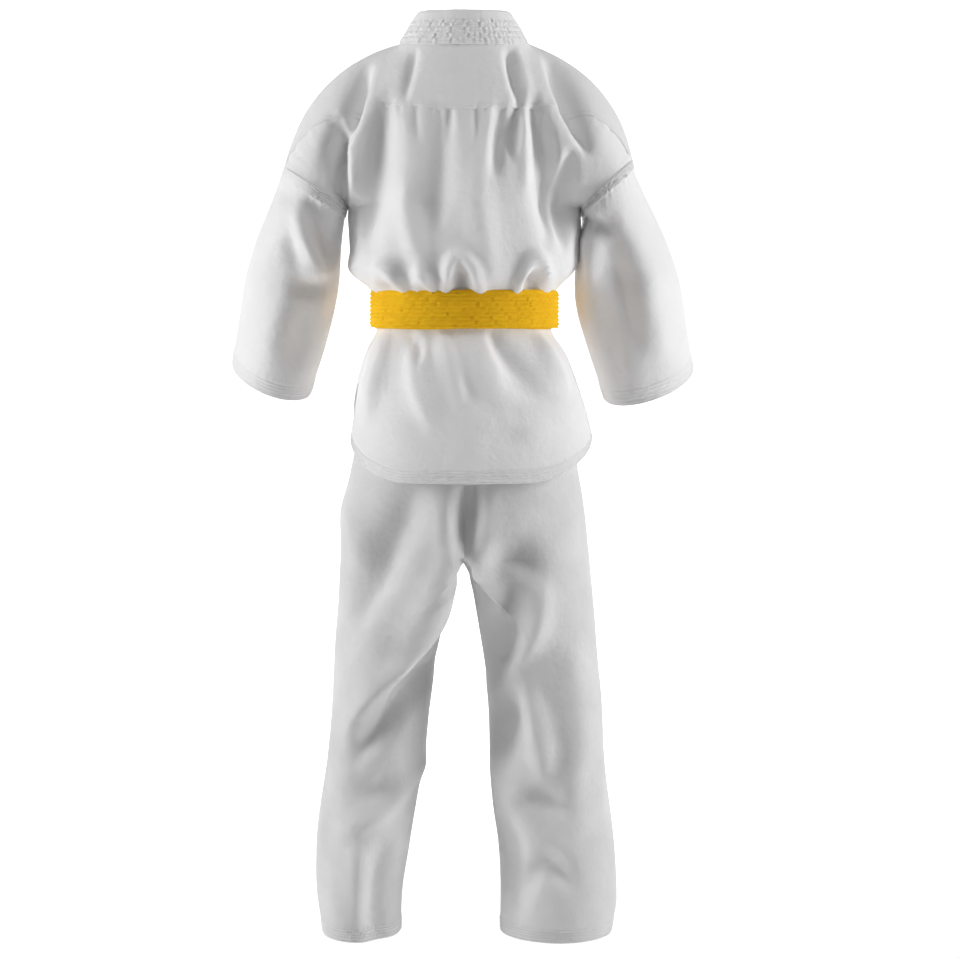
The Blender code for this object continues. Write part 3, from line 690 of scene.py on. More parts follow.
# ---------------------------------------------------------------- stitched bands
BROAD_SHARE = 2.6
HEM_ROWS = 5
HEM_FIRST = 0.0014
HEM_SPACING = (HEM - HEM_FIRST - 0.0008) / (HEM_ROWS - 1)
HEM_LINES = [HEM_FIRST + k * HEM_SPACING for k in range(HEM_ROWS)]
# a hem is this much thicker than plain cloth, and thins out over this distance
HEM_EXTRA = 0.0011
HEM_STEP = 0.001
HEM_THREAD = 0.0002


def waves(where, seed, lengths):
    """An uneven ripple along a line, with about the given wave lengths, between -1 and 1."""
    rng = np.random.default_rng(seed)
    total = 0.0
    for length in lengths:
        phase, wander = rng.uniform(0.0, 2.0 * math.pi, 2)
        bend = 0.35 * np.sin(where / (length * 5.3) + wander)
        total = total + np.sin(2.0 * math.pi * (where / length + bend) + phase)
    return total / len(lengths)


def quilted(distance, along, rows, first, seed, puff=PUFF, spacing=ROW_SPACING):
    """The lift of a band held down by parallel stitch rows: puffs between them, and puckers."""
    last = first + (rows - 1) * spacing
    inside = ease((distance + 0.0006) / 0.0012) * ease((last + 0.0016 - distance) / 0.0012)
    phase = np.clip((distance - first) / spacing, -0.5, rows - 0.5)
    ridge = np.abs(np.sin(math.pi * phase)) ** 0.7
    pucker = waves(along + 0.0137 * np.floor(phase + 0.5), seed, (0.0042, 0.0057, 0.0095))
    return inside * puff * (ridge * (1.0 + 0.8 * pucker) - 0.35 + 0.25 * pucker)


def uneven(points, seed, size, height):
    """Soft cloth unevenness, read from smooth noise in space, a little longer than wide."""
    flat = points.reshape(-1, 3) / np.array([size, size, 1.7 * size])
    origin = np.array([seed * 7.3, seed * 3.1, seed * 1.7])
    small = [noise.noise(p) for p in (flat + origin).tolist()]
    broad = [noise.noise(p) for p in (flat * 0.4 + origin * 2.0).tolist()]
    total = np.array(small) + BROAD_SHARE * np.array(broad)
    return height * total.reshape(points.shape[:-1])


def spaced(stops):
    """Joined even runs of values: (start, step count), ..., with the last stop's count unused."""
    runs = [np.linspace(a[0], b[0], a[1], endpoint=False) for a, b in zip(stops, stops[1:])]
    return np.concatenate(runs + [[stops[-1][0]]])


def side_name(side):
    return "left" if side > 0 else "right"


def sign_of(sheet):
    """1 if the sheet's computed normals already point outward, else -1."""
    u, v = np.meshgrid(sheet.us, sheet.vs)
    raw = sheet.normal(u, v)
    return 1.0 if (raw * outward(sheet, u, v)).sum() > 0.0 else -1.0


def rows_of_stitches(sheet, sign, paths, lift=0.0):
    """Thread lines along (u, v) paths on a sheet, raised a little above the cloth."""
    lines = []
    for u, v in paths:
        normals = sheet.normal(u, v) * sign
        lines.append((sheet.at(u, v) + normals * lift, normals))
    return lines


def threads_on(points, normals, rows):
    """Thread lines along chosen rows of a finished grid."""
    return [(points[k] + normals[k] * THREAD_RISE, normals[k]) for k in rows]


def rings(places, steps):
    """Closed paths round a tube sheet, one at each row coordinate."""
    loop = np.linspace(0.0, 1.0, steps)
    return [(loop, np.full_like(loop, place)) for place in places]


def hem_lift(distance, along, seed):
    return quilted(distance, along, HEM_ROWS, HEM_FIRST, seed, spacing=HEM_SPACING)


def hem_thickness(distance):
    return CLOTH + HEM_EXTRA * ease((HEM - distance) / HEM_STEP)


# ---------------------------------------------------------------- jacket pieces
QUARTER_GIRTH = 0.172
BODY_LENGTH = UNDERARM - JACKET_HEM
# cloth length from the underarm up to the neck, along the upper back
CHEST_LENGTH = 0.13
CHEST_HALF_GIRTH = 0.103
# how far the yoke's stitch row, and the groove it presses, lie from the seam
YOKE_STITCH = 0.0035
# wave lengths of the small gathers under the yoke
GATHERS = (0.0075, 0.0105, 0.016)


def yoke_seam(p):
    return YOKE_MIDDLE + YOKE_SIDE * p * p


def edge_distance(p, v):
    """How far a place on the back skirt is from the nearest hemmed edge, in metres."""
    bottom = (v + 1.0) * BODY_LENGTH
    side = (1.0 - np.abs(p)) * QUARTER_GIRTH
    side = np.where(v < level(VENT_TOP), side, HEM * 2.0)
    return np.minimum(bottom, side)


def back_panel(sheet, sign, cloth, thread):
    side_share = HEM / QUARTER_GIRTH
    us = spaced([(-1.0, 20), (-1.0 + side_share, 132), (1.0 - side_share, 20), (1.0, 0)])
    vent = level(VENT_TOP)
    below = spaced([(-1.0, 20), (-1.0 + HEM / BODY_LENGTH, 34), (vent, 36), (0.0, 0)])
    above = np.linspace(0.0, 1.0, 32)[1:]
    u = np.broadcast_to(us, (len(below) + len(above), len(us)))
    tall = yoke_seam(us)[None, :] + 0.02
    v = np.concatenate([np.repeat(below[:, None], len(us), 1), above[:, None] * tall])
    normals = sheet.normal(u, v) * sign
    distance = edge_distance(u, v)
    along = u * QUARTER_GIRTH + v * BODY_LENGTH * 0.8
    lift = hem_lift(distance, along, 3)
    below_seam = np.maximum(yoke_seam(u) - v, 0.0) * CHEST_LENGTH
    gathers = waves(u * QUARTER_GIRTH, 11, GATHERS)
    lift = lift + 0.0011 * gathers * np.exp(-below_seam / 0.011)
    points = sheet.at(u, v) + normals * lift[..., None]
    points = points + normals * uneven(points, 2, 0.030, 0.0006)[..., None]
    paths = []
    for d in HEM_LINES:
        reach = 1.0 - d / QUARTER_GIRTH
        line = np.linspace(-reach, reach, 260)
        paths.append((line, np.full_like(line, -1.0 + d / BODY_LENGTH)))
        rise = np.linspace(-1.0 + d / BODY_LENGTH, vent - 0.01, 60)
        paths.append((np.full_like(rise, reach), rise))
        paths.append((np.full_like(rise, -reach), rise))
    lines = rows_of_stitches(sheet, sign, paths, HEM_THREAD)
    parts = [shell_part(points, normals, hem_thickness(distance)), stitch_part(lines)]
    made = assemble("back_panel_cloth", parts, (cloth, thread))
    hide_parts("jacket_back", "back_hem_facing", "vent_facing_left", "vent_facing_right")
    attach(made, "jacket")


def back_yoke(sheet, sign, cloth, thread):
    us = np.linspace(-1.0, 1.0, 150)
    share = spaced([(0.0, 4), (0.04, 40), (1.0, 0)])
    u = np.broadcast_to(us, (len(share), len(us)))
    seam = yoke_seam(us)[None, :]
    v = seam + share[:, None] * (1.0 - seam)
    normals = sheet.normal(u, v) * sign
    distance = share[:, None] * (1.0 - seam) * CHEST_LENGTH
    round_edge = ease(distance / 0.0016)
    gathers = waves(u * QUARTER_GIRTH, 17, (0.009, 0.013, 0.021))
    lift = 0.0002 + 0.0010 * round_edge + 0.0005 * gathers * np.exp(-distance / 0.010)
    lift = lift - 0.0006 * np.exp(-(((distance - YOKE_STITCH) / 0.0008) ** 2))
    points = sheet.at(u, v) + normals * lift[..., None]
    points = points + normals * uneven(points, 5, 0.030, 0.0005)[..., None]
    line = np.linspace(-0.98, 0.98, 300)
    path = (line, yoke_seam(line) + YOKE_STITCH / CHEST_LENGTH)
    lines = rows_of_stitches(sheet, sign, [path], 0.0008)
    parts = [shell_part(points, normals, CLOTH), stitch_part(lines)]
    made = assemble("back_yoke_cloth", parts, (cloth, thread))
    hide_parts("back_yoke")
    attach(made, "jacket")


def lapel_seam(t):
    return through(LAPEL_SEAM, t)[0]


def band_span(t):
    """Width of the lapel band, as a share of the way round from the middle to the side."""
    height = UNDERARM + np.minimum(t, 0.0) * BODY_LENGTH
    left, right, _, before = through(JACKET_SECTIONS, height)
    girth = np.where(t > 0.0, CHEST_HALF_GIRTH, (left + right) * 0.25 + before * 0.5)
    return BAND / (girth * math.pi / 2.0)


def lap_depth(side, own_p, t):
    """The right front goes under the left one where the two lap."""
    if side > 0:
        return np.zeros(np.broadcast(own_p, t).shape)
    lap = lapel_seam(t) - band_span(t)
    return (2.0 * CLOTH + 0.0022) * ease((-own_p - lap + 0.42) / 0.30)


def front_panel(side, sheet, sign, cloth, thread):
    side_share = HEM / QUARTER_GIRTH
    share = spaced([(0.0, 96), (1.0 - side_share, 16), (1.0, 0)])
    vs = spaced([(-1.0, 20), (-1.0 + HEM / BODY_LENGTH, 30), (level(VENT_TOP), 36), (0.0, 46), (1.0, 0)])
    s, v = np.meshgrid(share, vs)
    seam = lapel_seam(v) + 0.004
    own = seam + s * (1.0 - seam)
    u = side * own
    normals = sheet.normal(u, v) * sign
    bottom = (v + 1.0) * BODY_LENGTH
    lift = hem_lift(bottom, u * QUARTER_GIRTH, 7) - lap_depth(side, own, v)
    points = sheet.at(u, v) + normals * lift[..., None]
    points = points + normals * uneven(points, 8 + side, 0.030, 0.0006)[..., None]
    lines = []
    for d in HEM_LINES:
        place = -1.0 + d / BODY_LENGTH
        start = lapel_seam(place) + 0.01
        own_line = np.linspace(float(start), 0.99, 200)
        line = own_line * side
        vline = np.full_like(line, place)
        n = sheet.normal(line, vline) * sign
        under = lap_depth(side, own_line, vline)
        lines.append((sheet.at(line, vline) + n * (HEM_THREAD - under)[:, None], n))
    parts = [shell_part(points, normals, hem_thickness(bottom)), stitch_part(lines)]
    label = side_name(side)
    made = assemble(f"front_panel_cloth_{label}", parts, (cloth, thread))
    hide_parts(f"jacket_front_{label}", f"front_hem_facing_{label}")
    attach(made, "jacket")


COLLAR_ROWS = 5
BAND_FIRST = 0.0025
BAND_EDGE = 0.0105
BAND_SPACING = (BAND - BAND_EDGE - BAND_FIRST) / (COLLAR_ROWS - 1)
BAND_THICK = 0.0030


def collar_surface(turn, up):
    """The band standing round the back of the neck. turn is 1 or -1 at the neck sides."""
    angle = np.asarray(turn, float) * math.pi / 2.0
    half = NECK_HALF + (COLLAR_TOP_HALF - NECK_HALF) * up
    deep = NECK_BACK + 0.002 - 0.006 * up
    bow = 0.0015 * np.cos(angle) * up
    foot = -NECK_BACK_DROP * np.clip(np.cos(angle), 0.0, 1.0)
    rise = foot + (COLLAR_TOP - 0.003) * up + bow
    return stack(half * np.sin(angle), deep * np.cos(angle), rise)


def grid_normals(points):
    """Normals of a plain grid of points, pointing away from the vertical axis."""
    across = np.gradient(points, axis=1)
    along = np.gradient(points, axis=0)
    n = np.cross(across, along)
    n /= np.maximum(np.linalg.norm(n, axis=-1, keepdims=True), 1e-12)
    away = points - points.mean(axis=(0, 1)) * np.array([0.0, 0.0, 1.0])
    return n if (n * away)[..., :2].sum() > 0.0 else -n


def band_lift(distance, along, seed):
    """The collar band: five stitch rows near its seam, and a smooth rolled free edge."""
    quilt = quilted(distance, along, COLLAR_ROWS, BAND_FIRST, seed, 0.0010, BAND_SPACING)
    edge = 1.0 - ease(distance / 0.0016) * ease((BAND - distance) / 0.0028)
    return quilt - 0.0012 * edge


def band_rows(count):
    """Which of a grid's lines across the band carry its stitch rows."""
    places = [(BAND_FIRST + k * BAND_SPACING) / BAND for k in range(COLLAR_ROWS)]
    return [int(round(place * (count - 1))) for place in places]


def collar(cloth, thread):
    turns = np.linspace(-1.02, 1.02, 200)
    ups = np.linspace(0.0, 1.0, 56)
    turn, up = np.meshgrid(turns, ups)
    flat = collar_surface(turn, up)
    normals = grid_normals(flat)
    length = math.pi * 0.052
    lift = band_lift(up * BAND, turn * length / 2.0, 21) + 0.0010
    lift = lift + 0.0005 * waves(turn * length / 2.0, 4, (0.031, 0.047))
    points = flat + normals * lift[..., None]
    lines = threads_on(points, normals, band_rows(len(ups)))
    parts = [shell_part(points, normals, BAND_THICK), stitch_part(lines)]
    made = assemble("collar_band_cloth", parts, (cloth, thread))
    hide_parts("collar_neck_band")
    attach(made, "jacket")


def lapel(side, sheet, sign, cloth, thread):
    acrosses = np.linspace(0.0, 1.0, 44)
    vs = spaced([(-1.0, 70), (0.0, 80), (1.0, 0)])
    across, v = np.meshgrid(acrosses, vs)
    own = lapel_seam(v) - across * band_span(v)
    u = side * own
    raw = sheet.normal(u, v) * sign
    under = lap_depth(side, own, v)
    flat = sheet.at(u, v) - raw * under[..., None]
    turned = ease((v - 0.45) / 0.55)[..., None]
    standing = collar_surface(np.full_like(across, float(side)), across)
    standing[..., 1] -= 0.001
    foot = sheet.at(side * lapel_seam(v), v)
    base = collar_surface(np.full_like(across, float(side)), np.zeros_like(across))
    lifted = foot + standing - base
    merged = flat * (1.0 - turned) + lifted * turned
    normals = grid_normals(merged)
    if (normals * raw).sum() < 0.0:
        normals = -normals
    along = np.concatenate([[0.0], np.cumsum(np.linalg.norm(np.diff(foot[:, 0], axis=0), axis=1))])
    lift = band_lift(across * BAND, np.repeat(along[:, None], len(acrosses), 1), 30 + side) + 0.0016
    points = merged + normals * lift[..., None]
    lines = threads_on(points.swapaxes(0, 1), normals.swapaxes(0, 1), band_rows(len(acrosses)))
    parts = [shell_part(points, normals, BAND_THICK), stitch_part(lines)]
    label = side_name(side)
    made = assemble(f"lapel_cloth_{label}", parts, (cloth, thread))
    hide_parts(f"lapel_{label}")
    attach(made, "jacket")


# ---------------------------------------------------------------- sleeves
# the length of a sleeve's cloth from the armhole to the cuff, and its girth
SLEEVE_LENGTH = 0.225
SLEEVE_GIRTH = 0.31
ARMHOLE_ROWS = 5
ARMHOLE_WIDTH = 0.0145
ARMHOLE_FIRST = 0.0018
ARMHOLE_PUFF = 1.7
ARMHOLE_THREAD = 0.0006
# how far out from the middle the plain part of an armhole band starts, and how long it fades
SEAM_FADE = 0.148
SEAM_FADE_RUN = 0.022


def sleeve(side, sheet, sign, cloth, thread):
    us = np.arange(132) / 132
    top = ARMHOLE_WIDTH / SLEEVE_LENGTH
    bottom = HEM / SLEEVE_LENGTH
    vs = spaced([(0.0, 22), (top, 78), (1.0 - bottom, 20), (1.0, 0)])
    u, v = np.meshgrid(us, vs)
    normals = sheet.normal(u, v) * sign
    around = u * SLEEVE_GIRTH
    from_top = v * SLEEVE_LENGTH
    from_cuff = (1.0 - v) * SLEEVE_LENGTH
    lift = hem_lift(from_cuff, around, 40 + side)
    past_fade = np.abs(sheet.at(u, v)[..., 0]) - SEAM_FADE
    shown = 1.0 - ARMS[side]["plain"] * ease(past_fade / SEAM_FADE_RUN)
    puffs = quilted(from_top, around, ARMHOLE_ROWS, ARMHOLE_FIRST, 43 + side)
    lift = lift + puffs * ARMHOLE_PUFF * shown
    on_band = ease((ARMHOLE_WIDTH - from_top) / 0.0012) * ease(from_top / 0.0008)
    lift = lift + on_band * shown * (0.0004 + 0.0007 * waves(around, 47 + side, (0.0050, 0.0078)))
    past_band = np.exp(-np.maximum(from_top - ARMHOLE_WIDTH, 0.0) / 0.009) * (1.0 - on_band)
    lift = lift + 0.0006 * past_band * waves(around, 57 + side, (0.0085, 0.0125))
    points = sheet.at(u, v) + normals * lift[..., None]
    points = points + normals * uneven(points, 12 + side, 0.028, 0.0007)[..., None]
    cuff_paths = rings([1.0 - d / SLEEVE_LENGTH for d in HEM_LINES], 200)
    lines = rows_of_stitches(sheet, sign, cuff_paths, HEM_THREAD)
    top_lines = [ARMHOLE_FIRST + k * ROW_SPACING for k in range(ARMHOLE_ROWS)]
    top_paths = rings([d / SLEEVE_LENGTH for d in top_lines], 200)
    lines += rows_of_stitches(sheet, sign, top_paths, ARMHOLE_THREAD)
    parts = [shell_part(points, normals, hem_thickness(from_cuff), ring=True), stitch_part(lines)]
    label = side_name(side)
    made = assemble(f"sleeve_cloth_{label}", parts, (cloth, thread))
    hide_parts(f"sleeve_{label}", f"cuff_facing_{label}", f"armhole_band_{label}")
    arm = ARMS[side]
    start = armhole(False, side, 0.0)
    across = np.array(arm["tip"]) - start
    down = np.array([across[2], 0.0, -across[0]]) / np.linalg.norm(across)
    centre = (start + np.array(arm["tip"])) * 0.5
    centre[0] *= side
    down[0] *= side
    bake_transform(made)


# ---------------------------------------------------------------- trousers
LEG_GIRTH = 0.40


def leg_cloth(side, points, normals, from_hem, around):
    """A closed skin over part of a leg, with its puckered hem and soft unevenness."""
    lift = hem_lift(from_hem, around * LEG_GIRTH, 50 + side)
    points = points + normals * (lift + uneven(points, 20 + side, 0.034, 0.0008))[..., None]
    return shell_part(points, normals, hem_thickness(from_hem))


def trouser_half(side, seat, seat_sign, leg, leg_sign, cloth, thread):
    """One leg and its half of the seat."""
    tall = CROTCH - TROUSER_HEM
    hem = HEM / tall
    half = np.linspace(0.0, 0.5, 84)
    seat_u = half if side > 0 else 1.0 - half
    seat_v = np.linspace(0.0, 0.93, 80)[1:]
    leg_v = spaced([(0.0, 20), (hem, 128), (1.0, 0)])
    u, v = np.meshgrid(half, leg_v)
    su, sv = np.meshgrid(seat_u, seat_v)
    points = np.concatenate([leg.at(u, v), seat.at(su, sv)])
    normals = np.concatenate([leg.normal(u, v) * leg_sign, seat.normal(su, sv) * seat_sign])
    joint = len(leg_v) - 1
    normals[joint] = normals[joint - 1] + normals[joint + 1]
    normals[joint] /= np.linalg.norm(normals[joint], axis=-1, keepdims=True)
    from_hem = np.concatenate([v * tall, np.full(su.shape, 1.0)])
    inner_u, inner_v = np.meshgrid(np.linspace(0.5, 1.0, 84), leg_v)
    inner = leg.at(inner_u, inner_v)
    inner_normals = leg.normal(inner_u, inner_v) * leg_sign
    lines = rows_of_stitches(leg, leg_sign, rings([d / tall for d in HEM_LINES], 260), HEM_THREAD)
    parts = [
        leg_cloth(side, points, normals, from_hem, np.concatenate([u, su])),
        leg_cloth(side, inner, inner_normals, inner_v * tall, inner_u),
        stitch_part(lines),
    ]
    label = side_name(side)
    made = assemble(f"trouser_cloth_{label}", parts, (cloth, thread))
    nodes = (f"trouser_seat_{label}", f"hip_fold_{label}", f"trouser_leg_{label}")
    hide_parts(*nodes, f"leg_hem_facing_{label}")
    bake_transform(made)


WAIST_GIRTH = 0.45


def gusset(cloth):
    """The small diamond that closes the crotch between the two legs."""
    box_high = high("crotch_gusset")
    along, across = np.meshgrid(np.linspace(-1.0, 1.0, 40), np.linspace(-1.0, 1.0, 14))
    half = 0.003 + (box_high.x - 0.003) * (1.0 - along**2)
    x = across * half
    y = along * (box_high.y - 0.004)
    z = box_high.z + 0.001 - 0.003 * across**2
    points = stack(x, y, z)
    normals = np.zeros(points.shape)
    normals[..., 2] = -1.0
    made = assemble("crotch_gusset_cloth", [shell_part(points, normals, -CLOTH)], (cloth,))
    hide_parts("crotch_gusset")
    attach(made, "trousers")


def waistband(seat, sign, cloth, thread):
    """A gathered casing round an elastic, hidden under the jacket."""
    us = np.arange(180) / 180
    vs = np.linspace(0.885, 1.0, 26)
    u, v = np.meshgrid(us, vs)
    normals = seat.normal(u, v) * sign
    along = u * WAIST_GIRTH
    gathers = 0.0009 * waves(along, 61, (0.006, 0.009, 0.013))
    up = (v - vs[0]) / (vs[-1] - vs[0])
    puffed = 0.0012 * np.abs(np.sin(math.pi * up * 3.0)) ** 0.6 - 0.0010
    points = seat.at(u, v) + normals * (gathers + puffed)[..., None]
    lines = threads_on(points, normals, (0, 8, 17, 25))
    parts = [shell_part(points, normals, 2.0 * CLOTH, ring=True), stitch_part(lines)]
    made = assemble("waistband_cloth", parts, (cloth, thread))
    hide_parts("trouser_waistband")
    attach(made, "trousers")


# ---------------------------------------------------------------- belt
BELT_ROWS = 9
BELT_THICK = 0.0034
STRAP_THICK = 0.0040
BELT_GIRTH = 0.55
# the belt is drawn this far inside the box of its CAD node, so that its puffs fill the box
BELT_INSET = 0.0006
STRAP_STEPS = 70
STRAP_COLUMNS = 55


def belt_lift(across, along, seed):
    """Across runs from 0 to 1 over the belt's width, which nine stitch rows hold down."""
    distance = across * BELT_WIDTH
    spacing = BELT_WIDTH / BELT_ROWS
    quilt = quilted(distance, along, BELT_ROWS, spacing / 2.0, seed, 0.0011, spacing)
    edge = 1.0 - ease(distance / 0.0016) * ease((BELT_WIDTH - distance) / 0.0016)
    return quilt - 0.0010 * edge


def belt_rows(count):
    """Which of a grid's lines across the belt carry its stitch rows."""
    return [int(round((k + 0.5) / BELT_ROWS * (count - 1))) for k in range(BELT_ROWS)]


def belt_wrap(name, node, shrink, drop, seed, cloth, thread):
    us = np.arange(300) / 300
    across = np.linspace(0.0, 1.0, STRAP_COLUMNS)
    u, a = np.meshgrid(us, across)
    turn = 2.0 * math.pi * u
    along = u * BELT_GIRTH
    half_width = BELT_HALF_WIDTH - BELT_INSET - shrink
    half_depth = BELT_HALF_DEPTH - BELT_INSET - shrink
    sway = 0.0006 * waves(along, seed, (0.11, 0.19))
    x = half_width * np.sin(turn)
    y = half_depth * np.cos(turn)
    flat = stack(x, y, BELT_BOTTOM + a * BELT_WIDTH + sway - drop)
    normals = stack(np.sin(turn) * half_depth, np.cos(turn) * half_width, 0.0 * u)
    normals /= np.linalg.norm(normals, axis=-1, keepdims=True)
    lift = belt_lift(a, along, seed) + 0.0005 * waves(along + a * 0.01, seed + 1, (0.033, 0.057))
    points = flat + normals * lift[..., None]
    lines = threads_on(points, normals, belt_rows(len(across)))
    parts = [shell_part(points, normals, BELT_THICK, ring=True), stitch_part(lines)]
    made = assemble(name, parts, (cloth, thread))
    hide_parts(node)
    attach(made, "jacket")


def along_rows(rows, t):
    """Smooth values along a short list of (x, y, z) rows."""
    rows = np.asarray(rows, float)
    line = Sheet(np.repeat(rows[:, None, :], 2, 1), [0.0, 1.0], np.arange(len(rows)))
    return line.at(np.zeros(len(t)), t)


def strap(path, faces_to, widths, cloth_thick, seed, cloth, thread, name):
    """A flat stitched strap swept along a path; faces_to gives the way its face looks."""
    t = np.linspace(0.0, len(path) - 1.0, STRAP_STEPS)
    centre = along_rows(path, t)
    look = along_rows(faces_to, t)
    heading = np.gradient(centre, axis=0)
    heading /= np.linalg.norm(heading, axis=1, keepdims=True)
    side = np.cross(heading, look)
    side /= np.linalg.norm(side, axis=1, keepdims=True)
    look = np.cross(side, heading)
    width = np.interp(t, np.arange(len(path)), widths)
    run = np.concatenate([[0.0], np.cumsum(np.linalg.norm(np.diff(centre, axis=0), axis=1))])
    a, along = np.meshgrid(np.linspace(0.0, 1.0, STRAP_COLUMNS), run)
    offset = (a - 0.5) * width[:, None]
    points = centre[:, None, :] + side[:, None, :] * offset[..., None]
    normals = np.repeat(look[:, None, :], a.shape[1], 1)
    lift = belt_lift(a, along, seed) + 0.0004 * waves(along, seed + 2, (0.031, 0.052))
    ends = 1.0 - ease(along / 0.0015) * ease((run[-1] - along) / 0.0015)
    lift = lift - 0.0009 * ends
    outer = points + normals * (lift + cloth_thick / 2.0)[..., None]
    lines = threads_on(outer.swapaxes(0, 1), normals.swapaxes(0, 1), belt_rows(STRAP_COLUMNS))
    parts = [shell_part(outer, normals, cloth_thick + 2.0 * lift), stitch_part(lines)]
    return assemble(name, parts, (cloth, thread))


def knot(cloth, thread):
    """The belt's flat knot: one turn goes round both wraps, the other crosses over it."""
    x, y, z = (KNOT_LOW + KNOT_HIGH) / 2.0
    tall = KNOT_HIGH.z - KNOT_LOW.z
    back = KNOT_HIGH.y
    front = KNOT_LOW.y
    loop_path = [
        (x - 0.004, back - 0.001, z - tall * 0.46),
        (x - 0.003, y + 0.003, z - tall * 0.47),
        (x - 0.001, front + 0.0065, z - tall * 0.22),
        (x + 0.001, front + 0.0060, z + tall * 0.20),
        (x + 0.003, y + 0.002, z + tall * 0.45),
        (x + 0.004, back - 0.001, z + tall * 0.46),
    ]
    loop_faces = [(0, -0.3, -1), (0, -0.8, -1), (0, -1, -0.2), (0, -1, 0.3), (0, -0.5, 1), (0, 0.2, 1)]
    loop_widths = (0.030, 0.031, 0.034, 0.036, 0.036, 0.034)
    loop = strap(loop_path, loop_faces, loop_widths, STRAP_THICK, 71, cloth, thread, "knot_loop")
    cross_path = [
        (x - 0.0195, back - 0.004, z + tall * 0.20),
        (x - 0.0190, y - 0.001, z + tall * 0.16),
        (x - 0.0080, front + 0.0030, z + tall * 0.06),
        (x + 0.0080, front + 0.0030, z - tall * 0.08),
        (x + 0.0190, y - 0.001, z - tall * 0.13),
        (x + 0.0195, back - 0.004, z - tall * 0.14),
    ]
    cross_faces = [(-1, 0, 0), (-1, -0.5, 0), (-0.3, -1, 0), (0.3, -1, 0), (1, -0.5, 0), (1, 0, 0)]
    cross_widths = (0.024, 0.025, 0.027, 0.026, 0.0225, 0.020)
    cross = strap(cross_path, cross_faces, cross_widths, 0.0038, 74, cloth, thread, "knot_cross")
    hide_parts("belt_knot")
    for made in (loop, cross):
        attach(made, "jacket")


END_SPREAD = math.radians(17.0)


def belt_end(side, cloth, thread):
    """A free end, narrow where it leaves the knot and hanging outward below it."""
    label = side_name(side)
    node = f"belt_end_{label}"
    box_low, box_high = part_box(node)
    spread = END_SPREAD
    top = np.array([side * 0.0120, box_high.y - 0.0030, box_high.z - 0.0005])
    length = (box_high.z - box_low.z) / math.cos(spread)
    lean = (box_low.y - box_high.y + 0.0040) / length
    path = []
    faces = []
    shares = np.linspace(0.0, 1.0, 8)
    for share in shares:
        down = length * share
        sway = side * 0.004 * math.sin(math.pi * share * 1.3)
        curl = -0.0015 * math.sin(math.pi * share)
        x = top[0] + side * down * math.sin(spread) * 0.93 + sway
        path.append((x, top[1] + lean * down + curl, top[2] - down * math.cos(spread) * 0.985))
        faces.append((0.10 * side * math.sin(2.4 * share), -1.0, 0.12 * math.cos(3.0 * share)))
    widths = np.interp(shares, (0.0, 0.25, 1.0), (0.026, BELT_WIDTH, BELT_WIDTH))
    made = strap(path, faces, widths, STRAP_THICK, 80 + side, cloth, thread, f"belt_end_cloth_{label}")
    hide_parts(node)
    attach(made, f"{label}_belt_end")


# ---------------------------------------------------------------- shaping the garments
BLUR_PASSES = 2
NECK_FADE = 0.08


def welded(sheets, gap=0.0004):
    """For every point of the sheets, the first point that lies at the same place."""
    points = np.concatenate([s.points.reshape(-1, 3) for s in sheets])
    tree = kdtree.KDTree(len(points))
    for index, point in enumerate(points.tolist()):
        tree.insert(point, index)
    tree.balance()
    return np.array([min(i for _, i, _ in tree.find_range(p, gap)) for p in points.tolist()])


def softened(lift, ring):
    """A gentle blur over a grid of lifts, so that folds meet without a hard corner."""
    for _ in range(BLUR_PASSES):
        wide = np.pad(lift, ((0, 0), (1, 1)), mode="wrap" if ring else "edge")
        lift = (wide[:, :-2] + 2.0 * lift + wide[:, 2:]) / 4.0
        tall = np.pad(lift, ((1, 1), (0, 0)), mode="edge")
        lift = (tall[:-2] + 2.0 * lift + tall[2:]) / 4.0
    return lift


def fold_together(sheets, folds, where):
    """Press folds into several sheets while keeping their shared edges shared."""
    moves = []
    for s, (rows, behind, gain) in zip(sheets, folds):
        u, v = np.meshgrid(s.us, s.vs)
        normal = outward(s, u, v)
        x, _, z = np.moveaxis(s.points, -1, 0)
        lift = softened(gain * sum(crease(x, z, *one) for one in rows), s.ring)
        if not s.ring:
            lift = lift * ease((1.0 - v) / NECK_FADE)
        facing = normal[..., 1] if behind else -normal[..., 1]
        moves.append((normal * (lift * ease(0.5 + 1.6 * facing))[..., None]).reshape(-1, 3))
    moves = np.concatenate(moves)
    total = np.zeros(moves.shape)
    count = np.zeros(len(moves))
    np.add.at(total, where, moves)
    np.add.at(count, where, 1.0)
    shared = (total / np.maximum(count, 1.0)[:, None])[where]
    start = 0
    for s in sheets:
        size = s.points.shape[0] * s.points.shape[1]
        s.points = s.points + shared[start : start + size].reshape(s.points.shape)
        start += size


def shape_jacket():
    back = body_sheet(False)
    front = body_sheet(True)
    left = sleeve_sheet(1)
    right = sleeve_sheet(-1)
    sheets = [back, front, left, right]
    where = welded(sheets)
    folds = [(BACK_FOLDS, True, JACKET_GAIN), (FRONT_FOLDS, False, JACKET_GAIN)]
    for rows in (LEFT_SLEEVE_FOLDS, RIGHT_SLEEVE_FOLDS):
        folds.append((rows, True, SLEEVE_GAIN))
    fold_together(sheets, folds, where)
    return back, front, left, right


